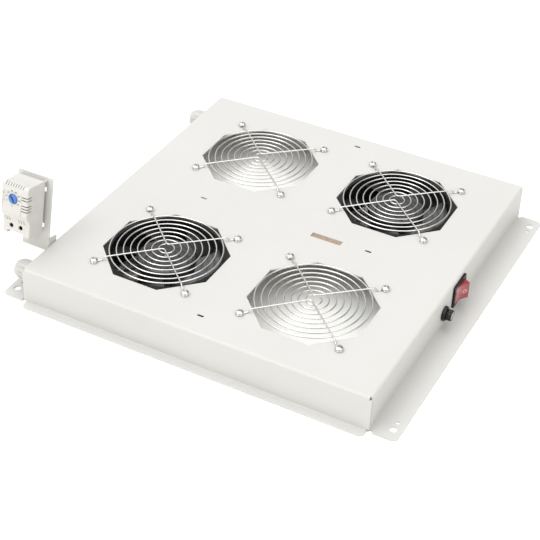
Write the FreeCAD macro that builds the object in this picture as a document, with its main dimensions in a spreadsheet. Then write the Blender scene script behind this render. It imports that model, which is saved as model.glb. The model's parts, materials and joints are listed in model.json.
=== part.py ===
import FreeCAD, Part
import math
import os
import Sketcher
from FreeCAD import Vector as V, Placement, Rotation

# Rack fan tray: a folded sheet-steel tray with four fan positions, two axial
# fans, four wire guards, a rocker switch, a fuse holder, two cable glands and
# a rail-mounted thermostat on a side bracket.
# Frame: origin at the centre of the four large flange holes, on the flange
# underside; +X to the switch side, +Y to the back, +Z up. Millimetres.

doc = FreeCAD.newDocument("rack_fan_tray")
sheet = doc.addObject("Spreadsheet::Sheet", "Dims")


class Q(object):
    """A number together with the spreadsheet expression that gives it."""

    def __init__(self, value, text):
        self.v = float(value)
        self.t = text

    def __float__(self):
        return self.v

    def __add__(self, o):
        o = q(o)
        return Q(self.v + o.v, "(%s + %s)" % (self.t, o.t))

    def __radd__(self, o):
        return q(o) + self

    def __sub__(self, o):
        o = q(o)
        return Q(self.v - o.v, "(%s - %s)" % (self.t, o.t))

    def __rsub__(self, o):
        return q(o) - self

    def __mul__(self, o):
        o = q(o)
        return Q(self.v * o.v, "(%s * %s)" % (self.t, o.t))

    def __rmul__(self, o):
        return q(o) * self

    def __truediv__(self, o):
        o = q(o)
        return Q(self.v / o.v, "(%s / %s)" % (self.t, o.t))

    def __neg__(self):
        return Q(-self.v, "(0 - %s)" % self.t)


def q(x):
    return x if isinstance(x, Q) else Q(x, repr(float(x)))


ROWS = []


def dim(alias, value, note):
    ROWS.append(alias)
    n = len(ROWS)
    sheet.set("A%d" % n, note)
    sheet.set("B%d" % n, repr(float(value)))
    sheet.setAlias("B%d" % n, alias)
    return Q(value, "Dims." + alias)


W = dim("tray_width", 378.8, "outside width of the tray box")
D = dim("tray_depth", 397.1, "outside depth of the tray box")
H = dim("tray_height", 41.0, "flange underside to top surface")
T = dim("gauge", 1.5, "sheet thickness")
RO = dim("bend_outer", 2.5, "outer bend radius")
RI = dim("bend_inner", 1.0, "inner bend radius")
FX = dim("side_flange", 26.6, "width of the side flanges")
FY = dim("end_flange", 9.5, "width of the front and rear flanges")
FL = dim("side_flange_run", 398.0, "length of the side flanges")
REL = dim("corner_relief", 2.7, "corner relief notch")
PX = dim("fan_pitch_x", 165.0, "fan pitch across")
PY = dim("fan_pitch_y", 199.2, "fan pitch front to back")
PS = dim("fan_shift_y", -1.15, "fan pattern centre, front to back")
OAF = dim("opening_flats", 120.0, "octagonal opening across flats")
SP = dim("guard_screw_pitch", 104.8, "fan and guard screw pitch")
SH = dim("guard_screw_hole", 4.4, "guard screw hole diameter")
BH = dim("flange_hole", 7.5, "large flange hole diameter")
BX = dim("flange_hole_x", 207.5, "flange holes from the centre line")
BY = dim("flange_hole_y", 185.0, "large flange holes from the centre")
CH = dim("small_flange_hole", 4.2, "small flange hole diameter")
CY = dim("small_flange_hole_y", 175.0, "small flange holes from the centre")
TSL = dim("tie_slot_run", 7.4, "tie slot length")
TSW = dim("tie_slot_gap", 2.5, "tie slot width")
GH = dim("gland_hole", 16.2, "gland hole diameter")
GZ = dim("gland_height", 22.9, "gland axis above the flange underside")
GYF = dim("gland_front_y", -178.2, "front gland position")
GYR = dim("gland_rear_y", 165.7, "rear gland position")
SWY = dim("switch_y", 10.8, "switch centre position")
SWZ = dim("switch_height", 22.8, "switch centre height")
SWL = dim("switch_cutout_run", 28.2, "switch cutout length")
SWH = dim("switch_cutout_rise", 22.0, "switch cutout height")
FUY = dim("fuse_y", -25.5, "fuse holder position")
FUZ = dim("fuse_height", 18.6, "fuse holder axis height")
FUH = dim("fuse_hole", 12.8, "fuse holder hole diameter")
LEAN = dim("bracket_lean", 12.4, "bracket lean, degrees")
RW = dim("ring_wire", 1.6, "guard ring wire diameter")
SW_ = dim("spoke_wire", 2.0, "guard spoke wire diameter")
RR = dim("ring_outer", 57.2, "outermost ring centre-line radius")
RP = dim("ring_step", 7.05, "ring spacing")
RZ = dim("ring_rise", 2.7, "ring centre above the top surface")
FS = dim("fan_square", 119.0, "fan frame square")
FT = dim("fan_thick", 38.0, "fan frame depth")
FB = dim("fan_bore", 114.0, "fan bore diameter")
HUB = dim("hub_dia", 60.0, "fan hub diameter")
TW = dim("stat_width", 31.5, "thermostat width")
TH = dim("stat_rise", 56.0, "thermostat height")
RAILW = dim("rail_width", 35.0, "mounting rail width")
RAILD = dim("rail_deep", 7.5, "mounting rail depth")
doc.recompute()

XW = W / 2
YD = D / 2
NODES = []


def done(label, obj):
    obj.Label = label
    NODES.append((label, obj))
    return obj


def bind(obj, prop, value):
    value = q(value)
    if "Dims." in value.t or "." in prop:
        obj.setExpression(prop, value.t)
    else:
        setattr(obj, prop, value.v)


def place(obj, x, y, z, rot=None):
    obj.Placement = Placement(V(float(q(x)), float(q(y)), float(q(z))), rot or Rotation())
    bind(obj, "Placement.Base.x", x)
    bind(obj, "Placement.Base.y", y)
    bind(obj, "Placement.Base.z", z)


ROT = {"z": Rotation(), "x": Rotation(V(0, 1, 0), 90), "y": Rotation(V(1, 0, 0), -90)}


def box(name, x0, x1, y0, y1, z0, z1):
    o = doc.addObject("Part::Box", name)
    bind(o, "Length", q(x1) - x0)
    bind(o, "Width", q(y1) - y0)
    bind(o, "Height", q(z1) - z0)
    place(o, x0, y0, z0)
    return o


def cyl(name, r, x, y, z, run, axis="z"):
    """A cylinder from (x, y, z) along +axis for run."""
    o = doc.addObject("Part::Cylinder", name)
    bind(o, "Radius", r)
    bind(o, "Height", run)
    place(o, x, y, z, ROT[axis])
    return o


def cone(name, r1, r2, x, y, z, run, axis="z"):
    o = doc.addObject("Part::Cone", name)
    bind(o, "Radius1", r1)
    bind(o, "Radius2", r2)
    bind(o, "Height", run)
    place(o, x, y, z, ROT[axis])
    return o


def prism(name, flats, x, y, z, run, axis="z", sides=6):
    o = doc.addObject("Part::Prism", name)
    o.Polygon = sides
    bind(o, "Circumradius", q(flats) / 2 / math.cos(math.pi / sides))
    bind(o, "Height", run)
    place(o, x, y, z, ROT[axis])
    return o


def fuse(name, *objs):
    o = doc.addObject("Part::MultiFuse", name)
    o.Shapes = list(objs)
    return o


def cut(name, a, b):
    o = doc.addObject("Part::Cut", name)
    o.Base = a
    o.Tool = b
    return o


def group(name, objs):
    o = doc.addObject("Part::Compound", name)
    o.Links = list(objs)
    return o


def solid(name, shape, placement=None):
    o = doc.addObject("Part::Feature", name)
    o.Shape = shape
    if placement is not None:
        o.Placement = placement
    return o


# ---------------------------------------------------------------- sketch help
def new_body(name, placement=None):
    b = doc.addObject("PartDesign::Body", name)
    if placement is not None:
        b.Placement = placement
    return b


def sketch(body, name, role, offset=0):
    s = body.newObject("Sketcher::SketchObject", name)
    plane = [f for f in body.Origin.OriginFeatures if f.Role == role][0]
    s.AttachmentSupport = (plane, [""])
    s.MapMode = "FlatFace"
    s.AttachmentOffset = Placement(V(0, 0, float(q(offset))), Rotation())
    bind(s, "AttachmentOffset.Base.z", offset)
    return s


def poly(s, pts):
    n = len(pts)
    base = s.GeometryCount
    pts = [(q(a), q(b)) for a, b in pts]
    for i in range(n):
        a, b = pts[i], pts[(i + 1) % n]
        s.addGeometry(Part.LineSegment(V(a[0].v, a[1].v, 0), V(b[0].v, b[1].v, 0)), False)
    for i in range(n):
        s.addConstraint(Sketcher.Constraint("Coincident", base + i, 2, base + (i + 1) % n, 1))
    for i in range(n):
        for kind, w in (("DistanceX", pts[i][0]), ("DistanceY", pts[i][1])):
            k = s.addConstraint(Sketcher.Constraint(kind, base + i, 1, w.v))
            if "Dims." in w.t:
                s.setExpression("Constraints[%d]" % k, w.t)


def rect(s, x0, x1, y0, y1):
    poly(s, [(x0, y0), (x1, y0), (x1, y1), (x0, y1)])


def circle(s, x, y, r):
    x, y, r = q(x), q(y), q(r)
    g = s.GeometryCount
    s.addGeometry(Part.Circle(V(x.v, y.v, 0), V(0, 0, 1), r.v), False)
    for kind, w in (("DistanceX", x), ("DistanceY", y)):
        k = s.addConstraint(Sketcher.Constraint(kind, g, 3, w.v))
        if "Dims." in w.t:
            s.setExpression("Constraints[%d]" % k, w.t)
    k = s.addConstraint(Sketcher.Constraint("Radius", g, r.v))
    if "Dims." in r.t:
        s.setExpression("Constraints[%d]" % k, r.t)


def obround(s, x, y, run, gap):
    """A slot along the sketch's X, round at both ends."""
    x, y, run, gap = q(x), q(y), q(run), q(gap)
    r = gap.v / 2
    c = run.v / 2 - r
    g = s.GeometryCount
    s.addGeometry(Part.LineSegment(V(x.v - c, y.v - r, 0), V(x.v + c, y.v - r, 0)), False)
    s.addGeometry(Part.ArcOfCircle(Part.Circle(V(x.v + c, y.v, 0), V(0, 0, 1), r), -math.pi / 2, math.pi / 2), False)
    s.addGeometry(Part.LineSegment(V(x.v + c, y.v + r, 0), V(x.v - c, y.v + r, 0)), False)
    s.addGeometry(Part.ArcOfCircle(Part.Circle(V(x.v - c, y.v, 0), V(0, 0, 1), r), math.pi / 2, 3 * math.pi / 2), False)


def pad(body, s, run, symmetric=False, reverse=False, name="Pad"):
    p = body.newObject("PartDesign::Pad", name)
    p.Profile = s
    bind(p, "Length", run)
    p.SideType = "Symmetric" if symmetric else "One side"
    p.Reversed = reverse
    body.Tip = p
    doc.recompute()
    return p


def pocket(body, s, run, symmetric=False, reverse=False, name="Pocket"):
    before = body.Shape.Volume
    p = body.newObject("PartDesign::Pocket", name)
    p.Profile = s
    bind(p, "Length", run)
    p.SideType = "Symmetric" if symmetric else "One side"
    p.Reversed = reverse
    body.Tip = p
    doc.recompute()
    if not body.Shape.Volume < before - 1e-6:
        raise RuntimeError("%s of %s cuts nothing" % (name, body.Name))
    return p


def edges(body, test):
    """Names of the body's straight edges whose two ends both pass test(point)."""
    out = []
    for i, e in enumerate(body.Tip.Shape.Edges):
        if len(e.Vertexes) == 2 and test(e.Vertexes[0].Point) and test(e.Vertexes[1].Point):
            out.append("Edge%d" % (i + 1))
    return out


def along(body, axis, test=lambda p: True):
    """Straight edges parallel to one axis whose ends pass the test."""
    out = []
    for n in edges(body, test):
        v = body.Tip.Shape.getElement(n).Vertexes
        d = v[1].Point - v[0].Point
        if all(abs(getattr(d, a)) < 1e-3 for a in "xyz" if a != axis):
            out.append(n)
    return out


def fillet(body, names, r, name="Fillet", kind="PartDesign::Fillet"):
    base = body.Tip
    f = body.newObject(kind, name)
    f.Base = (base, names)
    bind(f, "Radius" if kind.endswith("Fillet") else "Size", r)
    body.Tip = f
    doc.recompute()
    if "Invalid" in f.State or f.Shape.isNull() or not f.Shape.isValid():
        raise RuntimeError("%s of %s failed" % (name, body.Name))
    return f


def near(a, b, tol=0.02):
    return abs(a - float(b)) < tol


# ---------------------------------------------------------------- tray shell
shell = new_body("TrayShell")
s = sketch(shell, "ShellAcross", "XZ_Plane")
poly(s, [(-(XW + 5), 0), (-(XW + 5), T), (-XW, T), (-XW, H), (XW, H), (XW, T), (XW + 5, T), (XW + 5, 0),
         (XW - T, 0), (XW - T, H - T), (-(XW - T), H - T), (-(XW - T), 0)])
pad(shell, s, (YD - REL) * 2, symmetric=True, name="ShellAcrossPad")
s = sketch(shell, "ShellEnds", "YZ_Plane")
for g in (-1, 1):
    poly(s, [(g * (YD + FY), 0), (g * (YD + FY), T), (g * YD, T), (g * YD, H), (g * (YD - 12), H),
             (g * (YD - 12), H - T), (g * (YD - T), H - T), (g * (YD - T), 0)])
pad(shell, s, (XW - REL) * 2, symmetric=True, name="ShellEndsPad")


def top_out(p):
    return near(p.z, H) and (near(abs(p.x), XW) or near(abs(p.y), YD))


def top_in(p):
    return near(p.z, H - T) and (near(abs(p.x), XW - T) or near(abs(p.y), YD - T))


def low_out(p):
    return near(p.z, 0) and (near(abs(p.x), XW - T) or near(abs(p.y), YD - T))


def low_in(p):
    return near(p.z, T) and (near(abs(p.x), XW) or near(abs(p.y), YD))


def long_edges(body, test):
    names = []
    for n in edges(body, test):
        e = body.Tip.Shape.getElement(n)
        if e.Length > 300:
            names.append(n)
    return names


fillet(shell, long_edges(shell, top_out) + long_edges(shell, low_out), RO, "BendOuter")
fillet(shell, long_edges(shell, top_in) + long_edges(shell, low_in), RI, "BendInner")

# wall ends that close the vertical corners, leaving a hairline seam
s = sketch(shell, "SideWallEnds", "XZ_Plane")
for g in (-1, 1):
    rect(s, g * XW, g * (XW - T), 4.0, H - REL - 0.6)
pad(shell, s, (YD - T - 0.35) * 2, symmetric=True, name="SideWallEndsPad")
s = sketch(shell, "EndWallEnds", "YZ_Plane")
for g in (-1, 1):
    rect(s, g * YD, g * (YD - T), 3.2, H - REL - 0.6)
pad(shell, s, (XW - 0.1) * 2, symmetric=True, name="EndWallEndsPad")

# side flanges, full length, with rounded corners
s = sketch(shell, "SideFlanges", "XY_Plane")
for g in (-1, 1):
    rect(s, g * (XW + 3), g * (XW + FX), -(FL / 2), FL / 2)
pad(shell, s, T, name="SideFlangesPad")
fillet(shell, along(shell, "z", lambda p: near(abs(p.x), XW + FX) and near(abs(p.y), FL / 2)), 6.0, "FlangeCorners")
fillet(shell, along(shell, "z", lambda p: near(abs(p.x), XW - REL) and near(abs(p.y), YD + FY)), 5.0,
       "EndFlangeCorners")

# top openings
s = sketch(shell, "Openings", "XY_Plane", H)
FAN_POS = {}
for nx, gx in (("left", -1), ("right", 1)):
    for ny, gy in (("front", -1), ("rear", 1)):
        cx, cy = PX / 2 * gx, PY / 2 * gy + PS
        FAN_POS[ny + "_" + nx] = (cx, cy)
        a, b = OAF / 2, OAF / 2 * math.tan(math.pi / 8)
        poly(s, [(cx - b, cy - a), (cx + b, cy - a), (cx + a, cy - b), (cx + a, cy + b),
                 (cx + b, cy + a), (cx - b, cy + a), (cx - a, cy + b), (cx - a, cy - b)])
pocket(shell, s, 6.0, name="OpeningsCut")
s = sketch(shell, "TopHoles", "XY_Plane", H)
SCREWS = []
for key in sorted(FAN_POS):
    cx, cy = FAN_POS[key]
    for gx in (-1, 1):
        for gy in (-1, 1):
            x, y = cx + SP / 2 * gx, cy + SP / 2 * gy
            SCREWS.append((key, x, y))
            circle(s, x, y, SH / 2)
for x, y in ((-97.9, 0.4), (93.5, 1.5), (-0.7, -173.5), (-1.2, 178.4)):
    obround(s, x, y, TSL, TSW)
rect(s, 30.3, 64.4, -3.9, 3.5)
pocket(shell, s, 6.0, name="TopHolesCut")
s = sketch(shell, "FlangeHoles", "XY_Plane", T)
for gx in (-1, 1):
    for gy in (-1, 1):
        circle(s, gx * BX, gy * BY, BH / 2)
        circle(s, gx * BX, gy * CY, CH / 2)
pocket(shell, s, 5.0, name="FlangeHolesCut")

# side-wall holes: glands and bracket on the left, switch and fuse on the right
ca, sa = math.cos(math.radians(LEAN.v)), math.sin(math.radians(LEAN.v))
LX, LY, LZ = -189.55, -151.25, 48.1
LOCAL = Placement(V(LX, LY, LZ), Rotation(V(1, 0, 0), -LEAN.v))
TABY, TABZ = 7.5, -15.0
PIVOT = LOCAL.multVec(V(0, TABY, TABZ))
s = sketch(shell, "LeftHoles", "YZ_Plane", -(XW - T - 1))
circle(s, GYF, GZ, GH / 2)
circle(s, GYR, GZ, GH / 2)
circle(s, PIVOT.y, PIVOT.z, 2.2)
pocket(shell, s, 5.0, name="LeftHolesCut")
s = sketch(shell, "RightHoles", "YZ_Plane", XW + 1)
rect(s, SWY - SWL / 2, SWY + SWL / 2, SWZ - SWH / 2, SWZ + SWH / 2)
circle(s, FUY, FUZ, FUH / 2)
pocket(shell, s, 5.0, name="RightHolesCut")
done("tray_shell", shell)


# ---------------------------------------------------------------- wire guards
def rounded(points, radii):
    """Straight runs joined by tangent arcs, as one wire."""
    pts = [V(*p) for p in points]
    out = []
    start = pts[0]
    for i in range(1, len(pts) - 1):
        a = (pts[i - 1] - pts[i]).normalize()
        b = (pts[i + 1] - pts[i]).normalize()
        ang = a.getAngle(b)
        if math.pi - ang < 1e-4:
            continue
        r = radii[i - 1]
        cutb = r / math.tan(ang / 2)
        p1, p2 = pts[i] + a * cutb, pts[i] + b * cutb
        mid = (a + b).normalize()
        centre = pts[i] + mid * (r / math.sin(ang / 2))
        m = centre - mid * r
        out.append(Part.LineSegment(start, p1).toShape())
        out.append(Part.Arc(p1, m, p2).toShape())
        start = p2
    out.append(Part.LineSegment(start, pts[-1]).toShape())
    return Part.Wire(out)


def tube(points, radii, r):
    path = rounded(points, radii)
    e = path.Edges[0]
    t = e.tangentAt(e.FirstParameter)
    ring = Part.Wire([Part.Circle(path.Edges[0].valueAt(e.FirstParameter), t, float(r)).toShape()])
    shp = path.makePipeShell([ring], True, False)
    if shp.Volume < 0:
        shp.reverse()
    ideal = path.Length * math.pi * float(r) ** 2
    if abs(shp.Volume / ideal - 1) > 0.02:
        raise RuntimeError("tube volume off: %g against %g" % (shp.Volume, ideal))
    return shp


def guard_shape():
    rz = H.v + RZ.v
    sz = rz + RW.v / 2 + SW_.v / 2 - 0.25
    ez = H.v + SW_.v / 2
    bits = []
    for k in range(8):
        bits.append(Part.makeTorus(RR.v - k * RP.v, RW.v / 2, V(0, 0, rz)))
    h = SP.v / 2
    for gy, bend in ((-1, V(-1.2, -2.6, 0)), (1, V(-1.8, 4.2, 0))):
        pts = []
        for gx in (-1, 1):
            c = V(gx * h, gy * h, 0)
            d = (bend - c).normalize()
            arm = [c + d * 3.3 + V(0, 0, ez), c + d * 7.6 + V(0, 0, ez), c + d * 11.6 + V(0, 0, sz)]
            pts += arm if gx < 0 else [bend + V(0, 0, sz)] + arm[::-1]
        bits.append(tube([tuple(p) for p in pts], [3.0, 3.0, 3.5, 3.0, 3.0], SW_.v / 2))
        for gx in (-1, 1):
            bits.append(Part.makeTorus(3.3, SW_.v / 2, V(gx * h, gy * h, ez)))
    return bits[0].multiFuse(bits[1:])


GUARD = guard_shape()
for key in sorted(FAN_POS):
    cx, cy = FAN_POS[key]
    done("guard_" + key, solid("Guard_" + key, GUARD, Placement(V(cx.v, cy.v, 0), Rotation())))


# ---------------------------------------------------------------- screws, nuts
def revolve(points, axis=V(0, 0, 1)):
    """Closed profile of (radius, height) points turned about Z."""
    w = Part.makePolygon([V(r, 0, z) for r, z in points] + [V(points[0][0], 0, points[0][1])])
    return Part.Face(w).revolve(V(0, 0, 0), axis, 360)


def pan_screw(run, r=2.0, head=4.1, rise=2.7):
    prof = [(0, -run), (r - 0.4, -run), (r, -run + 0.4), (r, 0), (head, 0), (head, rise * 0.35),
            (head * 0.93, rise * 0.62), (head * 0.78, rise * 0.82), (head * 0.5, rise * 0.96), (0, rise)]
    scr = revolve(prof)
    a = Part.makeBox(4.6, 0.9, 2.0, V(-2.3, -0.45, rise - 1.6))
    b = Part.makeBox(0.9, 4.6, 2.0, V(-0.45, -2.3, rise - 1.6))
    return scr.cut(a.fuse(b))


def hex_nut(flats=7.0, rise=3.2, bore=2.06):
    c = flats / math.sqrt(3)
    w = Part.makePolygon([V(c * math.cos(math.pi / 3 * i), c * math.sin(math.pi / 3 * i), 0) for i in range(7)])
    n = Part.Face(w).extrude(V(0, 0, rise))
    bev = revolve([(0, 0), (c - 0.45, 0), (c, 0.45), (c, rise - 0.45), (c - 0.45, rise), (0, rise)])
    return n.common(bev).cut(Part.makeCylinder(bore, rise + 2, V(0, 0, -1)))


SCREW = pan_screw(12.0)
head_z = H.v + SW_.v
done("guard_screws", solid("GuardScrews", Part.makeCompound(
    [SCREW.copy().translate(V(x.v, y.v, head_z)) for key, x, y in SCREWS])))
NUT = hex_nut()
FITTED = ("front_left", "rear_right")
nuts = []
for key, x, y in SCREWS:
    z = H.v - T.v - 3.2 - (4.0 if key in FITTED else 0.0)
    nuts.append(NUT.copy().translate(V(x.v, y.v, z)))
STUDS = [(24.5, 11.0), (58.0, -11.0), (0.0, -60.0)]
for x, y in STUDS:
    nuts.append(NUT.copy().translate(V(x, y, H.v - T.v - 1.6 - 3.2 if x > 1 else H.v - T.v - 3.2)))
m = NUT.copy()
m.Placement = Placement(V(-(XW.v - T.v), PIVOT.y, PIVOT.z), Rotation(V(0, 1, 0), 90))
nuts.append(m)
done("hex_nuts", solid("HexNuts", Part.makeCompound(nuts)))

# welded studs for the terminal board and the earth connection
studs = [cyl("Stud%d" % i, 2.0, x, y, H - T - 9.5, 9.5) for i, (x, y) in enumerate(STUDS)]
done("weld_studs", group("WeldStuds", studs))

# ---------------------------------------------------------------- fans
def fan_frame(key):
    cx, cy = FAN_POS[key]
    b = new_body("FanFrame_" + key, Placement(V(cx.v, cy.v, H.v - T.v), Rotation()))
    s = sketch(b, "Square_" + key, "XY_Plane", -FT)
    rect(s, -(FS / 2), FS / 2, -(FS / 2), FS / 2)
    pad(b, s, FT, name="SquarePad_" + key)
    fillet(b, along(b, "z"), 6.0, "SquareCorners_" + key)
    s = sketch(b, "Bore_" + key, "XY_Plane", 0)
    circle(s, 0, 0, FB / 2)
    pocket(b, s, FT + 1, name="BoreCut_" + key)
    # waist between the two square flanges
    s = sketch(b, "Waist_" + key, "XZ_Plane")
    rect(s, FB / 2 + 2.4, 95.0, -(FT - 4), -4.0)
    g = b.newObject("PartDesign::Groove", "WaistCut_" + key)
    g.Profile = s
    g.ReferenceAxis = (s, ["V_Axis"])
    g.Angle = 360
    b.Tip = g
    doc.recompute()
    s = sketch(b, "Corners_" + key, "XY_Plane", 0)
    for gx in (-1, 1):
        for gy in (-1, 1):
            circle(s, gx * SP / 2, gy * SP / 2, SH / 2)
    pocket(b, s, FT + 1, name="CornersCut_" + key)
    # motor seat, four struts and bearing tube at the intake side
    s = sketch(b, "Seat_" + key, "XY_Plane", -FT)
    circle(s, 0, 0, HUB / 2 - 1)
    circle(s, 0, 0, 6.5)
    pad(b, s, 2.5, name="SeatPad_" + key)
    for k, ang in enumerate((45, 135)):
        s = sketch(b, "Strut%d_%s" % (k, key), "XY_Plane", -FT)
        c, t = math.cos(math.radians(ang)), math.sin(math.radians(ang))
        for e in (-1, 1):
            pts = []
            for u, w in ((24.0, -3.2), (FB.v / 2 + 1.0, -3.2), (FB.v / 2 + 1.0, 3.2), (24.0, 3.2)):
                pts.append((e * u * c - w * t, e * u * t + w * c))
            poly(s, pts)
        pad(b, s, 3.5, name="StrutPad%d_%s" % (k, key))
    s = sketch(b, "Tube_" + key, "XY_Plane", -FT)
    circle(s, 0, 0, 8.6)
    circle(s, 0, 0, 6.5)
    pad(b, s, 29.0, name="TubePad_" + key)
    return b


def blade(root, tip, top, low):
    """One lofted, twisted blade between two radii."""
    wires = []
    for k in range(4):
        f = k / 3.0
        r = root + (tip - root) * f
        pitch = math.radians(38 - 14 * f)
        chord = (top - low) / math.sin(math.radians(38 - 14 * f)) * (0.78 + 0.14 * f)
        th = 2.1 - 0.9 * f
        sweep = math.radians(-6 + 12 * f)
        pts = []
        n = 7
        for side in (1, -1):
            rng = range(n) if side > 0 else range(n - 1, -1, -1)
            for i in rng:
                c = i / float(n - 1)
                camber = 0.09 * chord * 4 * c * (1 - c)
                thick = th / 2 * (0.35 + 2.6 * c * (1 - c))
                u = (c - 0.5) * chord
                w = camber + side * thick
                a = u * math.cos(pitch) - w * math.sin(pitch)
                z = u * math.sin(pitch) + w * math.cos(pitch)
                phi = a / r + sweep
                pts.append(V(r * math.cos(phi), r * math.sin(phi), (top + low) / 2 + z))
        half = len(pts) // 2
        s1 = Part.BSplineCurve()
        s1.interpolate(pts[:half])
        s2 = Part.BSplineCurve()
        s2.interpolate(pts[half:])
        wires.append(Part.Wire([s1.toShape(), Part.LineSegment(pts[half - 1], pts[half]).toShape(),
                                s2.toShape(), Part.LineSegment(pts[-1], pts[0]).toShape()]))
    return Part.makeLoft(wires, True, False)


def impeller_shape():
    r = HUB.v / 2
    hub = revolve([(2.5, -3.6), (r - 3.5, -3.6), (r - 1.2, -4.3), (r, -6.2), (r, -32.0), (r - 2.0, -32.0),
                   (r - 2.0, -7.2), (r - 4.0, -5.8), (5.0, -5.8), (5.0, -8.6), (2.5, -8.6)])
    one = blade(r - 0.8, 56.5, -8.0, -30.0)
    keep = Part.makeCylinder(55.6, 40, V(0, 0, -40)).cut(Part.makeCylinder(r - 0.5, 42, V(0, 0, -41)))
    one = one.common(keep)
    bits = []
    for k in range(7):
        c = one.copy()
        c.rotate(V(0, 0, 0), V(0, 0, 1), 360.0 / 7 * k + 20)
        bits.append(c)
    return hub.multiFuse(bits)


IMP = impeller_shape()
for key in FITTED:
    cx, cy = FAN_POS[key]
    at = Placement(V(cx.v, cy.v, H.v - T.v), Rotation())
    done("fan_frame_" + key, fan_frame(key))
    done("impeller_" + key, solid("Impeller_" + key, IMP, at))
    z0 = H - T
    ring = cut("RotorRing_" + key, cyl("RotorRingA_" + key, HUB / 2 - 2.05, cx, cy, z0 - 31.0, 20.0),
               cyl("RotorRingB_" + key, 24.6, cx, cy, z0 - 32.0, 22.0))
    done("rotor_ring_" + key, ring)
    shaft = cyl("Shaft_" + key, 2.5, cx, cy, z0 - 35.0, 31.0)
    done("fan_shaft_" + key, shaft)
    brs = []
    for k, zz in enumerate((-34.0, -13.5)):
        brs.append(cut("Bearing%d_%s" % (k, key), cyl("BearingA%d_%s" % (k, key), 6.5, cx, cy, z0 + zz, 4.0),
                       cyl("BearingB%d_%s" % (k, key), 2.52, cx, cy, z0 + zz - 1, 6.0)))
    done("fan_bearings_" + key, group("Bearings_" + key, brs))
    core = revolve([(8.6, -29.0), (23.9, -29.0), (23.9, -13.0), (8.6, -13.0)])
    wind = revolve([(10.5, -31.5), (20.0, -31.5), (21.5, -30.0), (21.5, -12.0), (20.0, -10.5), (10.5, -10.5)])
    stator = core.fuse(wind)
    for k in range(8):
        slot = Part.makeBox(9.0, 1.6, 40, V(16.5, -0.8, -45))
        slot.rotate(V(0, 0, 0), V(0, 0, 1), 45.0 * k + 10)
        stator = stator.cut(slot)
    done("fan_stator_" + key, solid("Stator_" + key, stator, at))
    # two tab terminals on the frame's waist, facing the middle of the tray
    ang = 45 if key == "front_left" else 225
    tabs = []
    for k in (-1, 1):
        t = Part.makeBox(9.0, 0.6, 3.0, V(FB.v / 2 + 2.4, k * 4.0 - 0.3, -22.0))
        t.rotate(V(0, 0, 0), V(0, 0, 1), ang)
        tabs.append(t)
    blk = Part.makeBox(5.0, 13.0, 7.0, V(FB.v / 2 + 2.4 - 0.4, -6.5, -24.0))
    blk.rotate(V(0, 0, 0), V(0, 0, 1), ang)
    tb = blk.fuse(tabs[0]).fuse(tabs[1]).cut(Part.makeCylinder(FB.v / 2 + 2.4, 50, V(0, 0, -50)))
    done("fan_terminals_" + key, solid("Terminals_" + key, tb, at))

# ---------------------------------------------------------------- switch
b = new_body("SwitchHousing")
s = sketch(b, "Bezel", "YZ_Plane", XW)
rect(s, SWY - 15.05, SWY + 15.05, SWZ - 12.75, SWZ + 12.75)
pad(b, s, 2.6, name="BezelPad")
fillet(b, along(b, "x"), 1.6, "BezelCorners")
fillet(b, edges(b, lambda p: near(p.x, XW + 2.6)), 0.7, "BezelRim", kind="PartDesign::Chamfer")
s = sketch(b, "SwitchBarrel", "YZ_Plane", XW)
rect(s, SWY - SWL / 2 + 0.2, SWY + SWL / 2 - 0.2, SWZ - SWH / 2 + 0.2, SWZ + SWH / 2 - 0.2)
pad(b, s, 24.0, reverse=True, name="SwitchBarrelPad")
s = sketch(b, "SwitchCavity", "YZ_Plane", XW + 3.6)
rect(s, SWY - 13.35, SWY + 13.35, SWZ - 9.5, SWZ + 9.5)
pocket(b, s, 13.0, name="SwitchCavityCut")
PVX = 186.0
s = sketch(b, "SwitchPivot", "XY_Plane", SWZ - 15)
circle(s, PVX, SWY, 1.56)
pocket(b, s, 30.0, reverse=True, name="SwitchPivotCut")
s = sketch(b, "SwitchSnaps", "XZ_Plane", -(SWY - SWL / 2 + 0.2))
poly(s, [(XW - T - 0.1, SWZ - 4), (XW - T - 0.1, SWZ + 4), (XW - T - 7, SWZ + 4), (XW - T - 7, SWZ - 4)])
pad(b, s, 0.9, name="SwitchSnapsPad")
done("switch_housing", b)

ROCK = math.radians(20.0)
prof = [(-11.6, 2.6), (-11.5, 4.6), (-10.0, 10.3)]
for k in range(1, 12):
    u = -10.0 + 20.0 * k / 12.0
    prof.append((u, 10.3 - 2.3 * (1 - (u / 10.0) ** 2)))
prof += [(10.0, 10.3), (11.5, 4.6), (11.6, 2.6), (9.4, -1.9), (-9.4, -1.9)]
pts = []
for u, w in prof:
    x = w * math.cos(ROCK) + u * math.sin(ROCK)
    y = u * math.cos(ROCK) - w * math.sin(ROCK)
    pts.append(V(PVX + x, SWY.v + y, SWZ.v - 9.2))
rock = Part.Face(Part.makePolygon(pts + [pts[0]])).extrude(V(0, 0, 18.4))
rock = rock.makeFillet(0.5, [e for e in rock.Edges if abs(e.Length - 18.4) < 0.01 and
                             (e.BoundBox.Center - V(PVX, SWY.v, SWZ.v)).Length > 14.0])
rock = rock.fuse(Part.makeCylinder(1.5, 21.0, V(PVX, SWY.v, SWZ.v - 10.5)))
done("switch_rocker", solid("Rocker", rock))
tabs = []
for i, (dy, dz) in enumerate(((-7.5, -5.5), (-7.5, 5.5), (7.5, -5.5), (7.5, 5.5))):
    tabs.append(box("SwitchTab%d" % i, XW - 33.0, XW - 24.0, SWY + dy - 0.4, SWY + dy + 0.4,
                    SWZ + dz - 3.15, SWZ + dz + 3.15))
done("switch_terminals", group("SwitchTerminals", tabs))

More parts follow.
